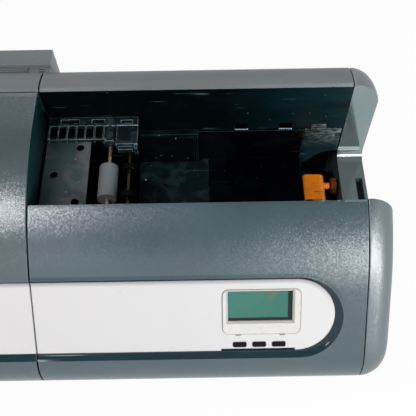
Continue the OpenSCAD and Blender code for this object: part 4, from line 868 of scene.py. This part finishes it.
# ---------------------------------------------------------------- feeder corner
# A smoked teal shield, rubbed white at its top, hangs over the feeder; below it are the
# orange release lever with its pin and the orange wheel for the card thickness.
shield = finish("smoked_shield", (0.003, 0.014, 0.018), 0.26, ((0.3, 0.4, 0.42), 0.35, 0.0005),
    ((0.012, 0.034, 0.04), 0.7, 40.0), (0.8, 0.35, 0.1), specular=0.2)
t = shield.node_tree
at = place(t)
far = add(t, "SeparateXYZ", {0: at}).node.outputs
corner = work(t, "MULTIPLY", remap(t, far[2], 0.205, 0.236), remap(t, far[0], 0.284, 0.312, 0.35, 1.0))
rubs = noise(t, add(t, "Mapping", {0: at, "Rotation": (0, 0.5, 0), "Scale": (60, 60, 210)}), 1.3, 8.0,
    Roughness=0.75, Distortion=1.2)
stain(shield, work(t, "MULTIPLY", corner, remap(t, rubs, 0.46, 0.70)), (0.50, 0.60, 0.63))
clad(shield, "dust_shield")
clad(finish("orange_plastic", (0.86, 0.235, 0.002), 0.38, ((0.85, 0.36, 0.06), 0.5, 0.0005),
    ((0.36, 0.1, 0.008), 0.35, 70.0), (0.2, 0.1, 0.15)), "latch_lever")
# The wheel is the lever's orange darkened to a dim brown: painted shade, as it lies deep in the well.
clad(finish("orange_wheel_painted_shade", (0.13, 0.036, 0.002), 0.45, ((0.22, 0.07, 0.006), 0.5, 0.0005),
    ((0.05, 0.014, 0.002), 0.35, 70.0), (0.2, 0.1, 0.15), specular=0.2), "gate_wheel")

# ---------------------------------------------------------------- stripe, display and buttons
# White moulded stripes lie in the channel. The display sits in a bezel with a beige
# outline, and its greenish glass is darker along the right and lower edges, a painted
# shadow of the bezel.
stripe_white = finish("stripe_white_satin", (0.715, 0.722, 0.73), 0.34, ((0.5, 0.51, 0.53), 0.85, 0.0016),
    ((0.705, 0.712, 0.72), 0.0, 7.0), (0.06, 0.0, 0.08, 1500.0), cloud=0.012)
# Painted shade: the white darkens towards the stripe's upper edge.
paint_rim_shade(stripe_white, 0.2554, 0.0365, 0.0318, 0.0352, (0.58, 0.585, 0.60))
clad(stripe_white, "stripe_right", "stripe_left")
clad(finish("bezel_white", (0.72, 0.72, 0.71), 0.26, ((0.36, 0.335, 0.26), 1.0, 0.0013),
    ((0.76, 0.755, 0.74), 0.3, 40.0), (0.08, 0.0, 0.05), coat=0.2, cloud=0.02), "display_frame")
lcd = finish("display_green", (0.047, 0.19, 0.147), 0.14, ((0.02, 0.03, 0.03), 0.2),
    ((0.14, 0.165, 0.125), 0.95, 30.0), (0.22, 0.0, 0.03), specular=0.3)
t = lcd.node_tree
at = place(t)
climb = vector(t, "DOT_PRODUCT", at, (0, *slope_up), "Value")
# Painted shadow of the bezel along the glass's right and lower edges.
right, low = remap(t, add(t, "SeparateXYZ", {0: at}), 0.2477, 0.2484), remap(t, climb, 0.0819, 0.0826, 1.0, 0.0)
stain(lcd, work(t, "MAXIMUM", right, low), (0.012, 0.022, 0.020))
clad(lcd, "display_glass")
clad(finish("button_gloss", (0.002, 0.006, 0.007), 0.2, ((0.04, 0.05, 0.055), 0.5, 0.0004),
    ((0.006, 0.012, 0.014), 0.3, 200.0), (0.1, 0.0, 0.05), specular=0.14), "button_left", "button_middle",
    "button_right")

# ---------------------------------------------------------------- boards and supply
# The green circuit boards carry traces, tinned pads and black components. The supply
# stands in a cage of galvanised sheet.


def circuit_board(name, component_height):
    """Board finish: traces are the joints of a brick pattern, pads the middles of square
    cells, and what stands higher than the given height is a black component."""
    m = finish(name, (0.012, 0.085, 0.04), 0.3, ((0.25, 0.3, 0.15), 0.5, 0.0003),
        ((0.01, 0.062, 0.03), 0.5, 60.0), (0.15, 0.1, 0.1))
    t = m.node_tree
    at = place(t)
    pads = add(t, "TexVoronoi", {"Vector": at, "Scale": 240.0, "Randomness": 0.7}, "Distance",
        distance="CHEBYCHEV", feature="F1")
    traces = add(t, "TexBrick", {"Vector": at, "Scale": 130.0, "Mortar Size": 0.045, "Mortar Smooth": 0.1,
        "Color1": (0.012, 0.085, 0.04, 1), "Color2": (0.010, 0.075, 0.036, 1),
        "Mortar": (0.035, 0.17, 0.075, 1)})
    printed = blend(t, 0.7, t.nodes["marks"].outputs["Colour"], traces)
    tinned = blend(t, work(t, "LESS_THAN", pads, 0.11), printed, (0.55, 0.56, 0.55, 1))
    raised = work(t, "GREATER_THAN", add(t, "SeparateXYZ", {0: at}).node.outputs[2], component_height)
    t.links.new(blend(t, raised, tinned, (0.018, 0.018, 0.02, 1)),
        t.nodes["Principled BSDF"].inputs["Base Color"])
    return m


clad(circuit_board("main_board_green", 0.0181), "main_board")
clad(circuit_board("panel_board_green", 9.0), "panel_board")
clad(finish("galvanised_sheet", (0.36, 0.38, 0.39), 0.36, ((0.62, 0.64, 0.66), 0.5, 0.0005),
    ((0.26, 0.28, 0.3), 0.7, 90.0), (0.4, 0.1, 0.12), metallic=0.85), "power_supply", "flipper_frame")

# ---------------------------------------------------------------- rear fittings
# Fan, socket plate and rocker switch are black moulded plastic with a fine spark-eroded
# grain; the output bin is the same plastic.
clad(finish("black_moulding", (0.014, 0.016, 0.018), 0.42, ((0.06, 0.07, 0.075), 0.5, 0.0005),
    ((0.022, 0.025, 0.027), 0.5, 50.0), (0.25, 0.25, 0.5, 800.0)), "fan_frame", "fan_rotor", "socket_plate",
    "power_switch", "output_bin")

# ---------------------------------------------------------------- card flipper
# A drum turns each card over between two pairs of rubber rollers. A toothed belt and a
# brass pulley drive it from a can motor.
clad(finish("flip_drum_black", (0.012, 0.014, 0.016), 0.34, ((0.08, 0.09, 0.095), 0.6, 0.0005),
    ((0.02, 0.024, 0.026), 0.4, 60.0), (0.35, 0.0, 0.3, 900.0)), "flip_drum")
for name, x0 in (("entry", -0.030), ("exit", -0.210)):
    for kind, suffix, colour, roughness, z0, limit in (
            ("_roller", "_rubber", (0.008, 0.008, 0.009), 0.62, 0.2491, 0.0032),
            ("_pinch_roller", "_grey", (0.12, 0.125, 0.13), 0.5, 0.2639, 0.0022)):
        clad(bare_core(finish(name + kind + suffix, colour, roughness, *tyre), x0, z0, limit,
            (0.42, 0.44, 0.45), 0.28), name + kind)
clad(finish("belt_ribbed", (0.012, 0.012, 0.012), 0.7, ((0.05, 0.05, 0.05), 0.5),
    ((0.025, 0.025, 0.024), 0.5, 150.0), (0.1, 0.2, 0.6, 500.0)), "flip_belt")

# ---------------------------------------------------------------- stage and light
# A wide white sweep, flat under the machine and rising far behind it, and soft boxes
# to the left, the right, the far right and behind, with a small card in front.
sides = 96
ring = np.linspace(0, 2 * np.pi, sides, endpoint=False)
bend = np.radians(np.linspace(0, 90, 14))
sweep_r = np.concatenate([[0.02, 1.0, 3.2], 3.2 + 1.2 * np.sin(bend)[1:], [4.4]])
sweep_z = np.concatenate([[0, 0, 0], 1.2 * (1 - np.cos(bend))[1:], [4.0]])
sweep_x, sweep_y = sweep_r[:, None] * np.cos(ring), sweep_r[:, None] * np.sin(ring)
sweep = np.stack(np.broadcast_arrays(sweep_x, sweep_y, sweep_z[:, None]), -1)
sweep_mesh = bpy.data.meshes.new("white_sweep")
sweep_mesh.from_pydata(sweep.reshape(-1, 3), [],
    ring_faces(len(sweep_r), sides)[:, ::-1].tolist() + [list(range(sides))])
sweep_mesh.polygons.foreach_set("use_smooth", np.ones(len(sweep_mesh.polygons), bool))
table = bpy.data.objects.new("white_sweep", sweep_mesh)
scene.collection.objects.link(table)
paper = bpy.data.materials.new("white_paper")
paper.use_nodes = True
t = paper.node_tree
matt = t.nodes["Principled BSDF"]
matt.inputs["Base Color"].default_value, matt.inputs["Roughness"].default_value = (0.86, 0.86, 0.86, 1), 0.9
ray = add(t, "LightPath").node.outputs
seen = work(t, "MAXIMUM", ray["Is Camera Ray"], ray["Is Glossy Ray"])
lit = work(t, "MULTIPLY", work(t, "MAXIMUM", seen, ray["Is Transmission Ray"]), 0.955)
white = add(t, "MixShader", {0: lit, 1: matt.outputs[0], 2: add(t, "Emission", {0: (1, 1, 1, 1), 1: 1.0})})
t.links.new(white, t.nodes["Material Output"].inputs[0])
sweep_mesh.materials.append(paper)

scene.view_settings.view_transform = "Standard"
world = bpy.data.worlds.new("studio")
scene.world = world
world.use_nodes = True
sky = world.node_tree.nodes["Background"].inputs
sky[0].default_value, sky[1].default_value = (0.86, 0.96, 1.0, 1), 0.24


def softbox(name, at, aim, size, watts, colour):
    """A rectangular lamp that looks from one place at another, with its width along X
    as far as it goes."""
    lamp = bpy.data.lights.new(name, "AREA")
    lamp.shape, lamp.size, lamp.size_y, lamp.energy, lamp.color = "RECTANGLE", *size, watts, colour
    away = (Vector(at) - Vector(aim)).normalized()
    along = (Vector((1, 0, 0)) - away * away.x).normalized()
    o = bpy.data.objects.new(name, lamp)
    o.matrix_world = Matrix.Translation(at) @ Matrix((along, away.cross(along), away)).transposed().to_4x4()
    scene.collection.objects.link(o)


softbox("softbox_left", (-0.54, -0.415, 1.38), (0.0, -0.035, 0.285), (0.52, 0.36), 8.8, (1.0, 0.89, 0.90))
softbox("small_card", (-0.22, -0.95, 1.07), (0.295, -0.11, 0.22), (0.09, 0.09), 0.32, (1.0, 1.0, 1.0))
softbox("softbox_right", (0.88, -0.96, 0.975), (0.30, -0.08, 0.26), (0.66, 0.46), 9.4, (1.0, 0.99, 0.96))
softbox("softbox_side", (1.15, -0.66, 0.53), (0.331, -0.08, 0.257), (0.24, 0.36), 2.9, (1.0, 0.99, 0.97))
softbox("softbox_back", (0.2, 1.2, 1.3), (0.1, 0.1, 0.2), (1.2, 0.5), 2.5, (1.0, 1.0, 1.0))
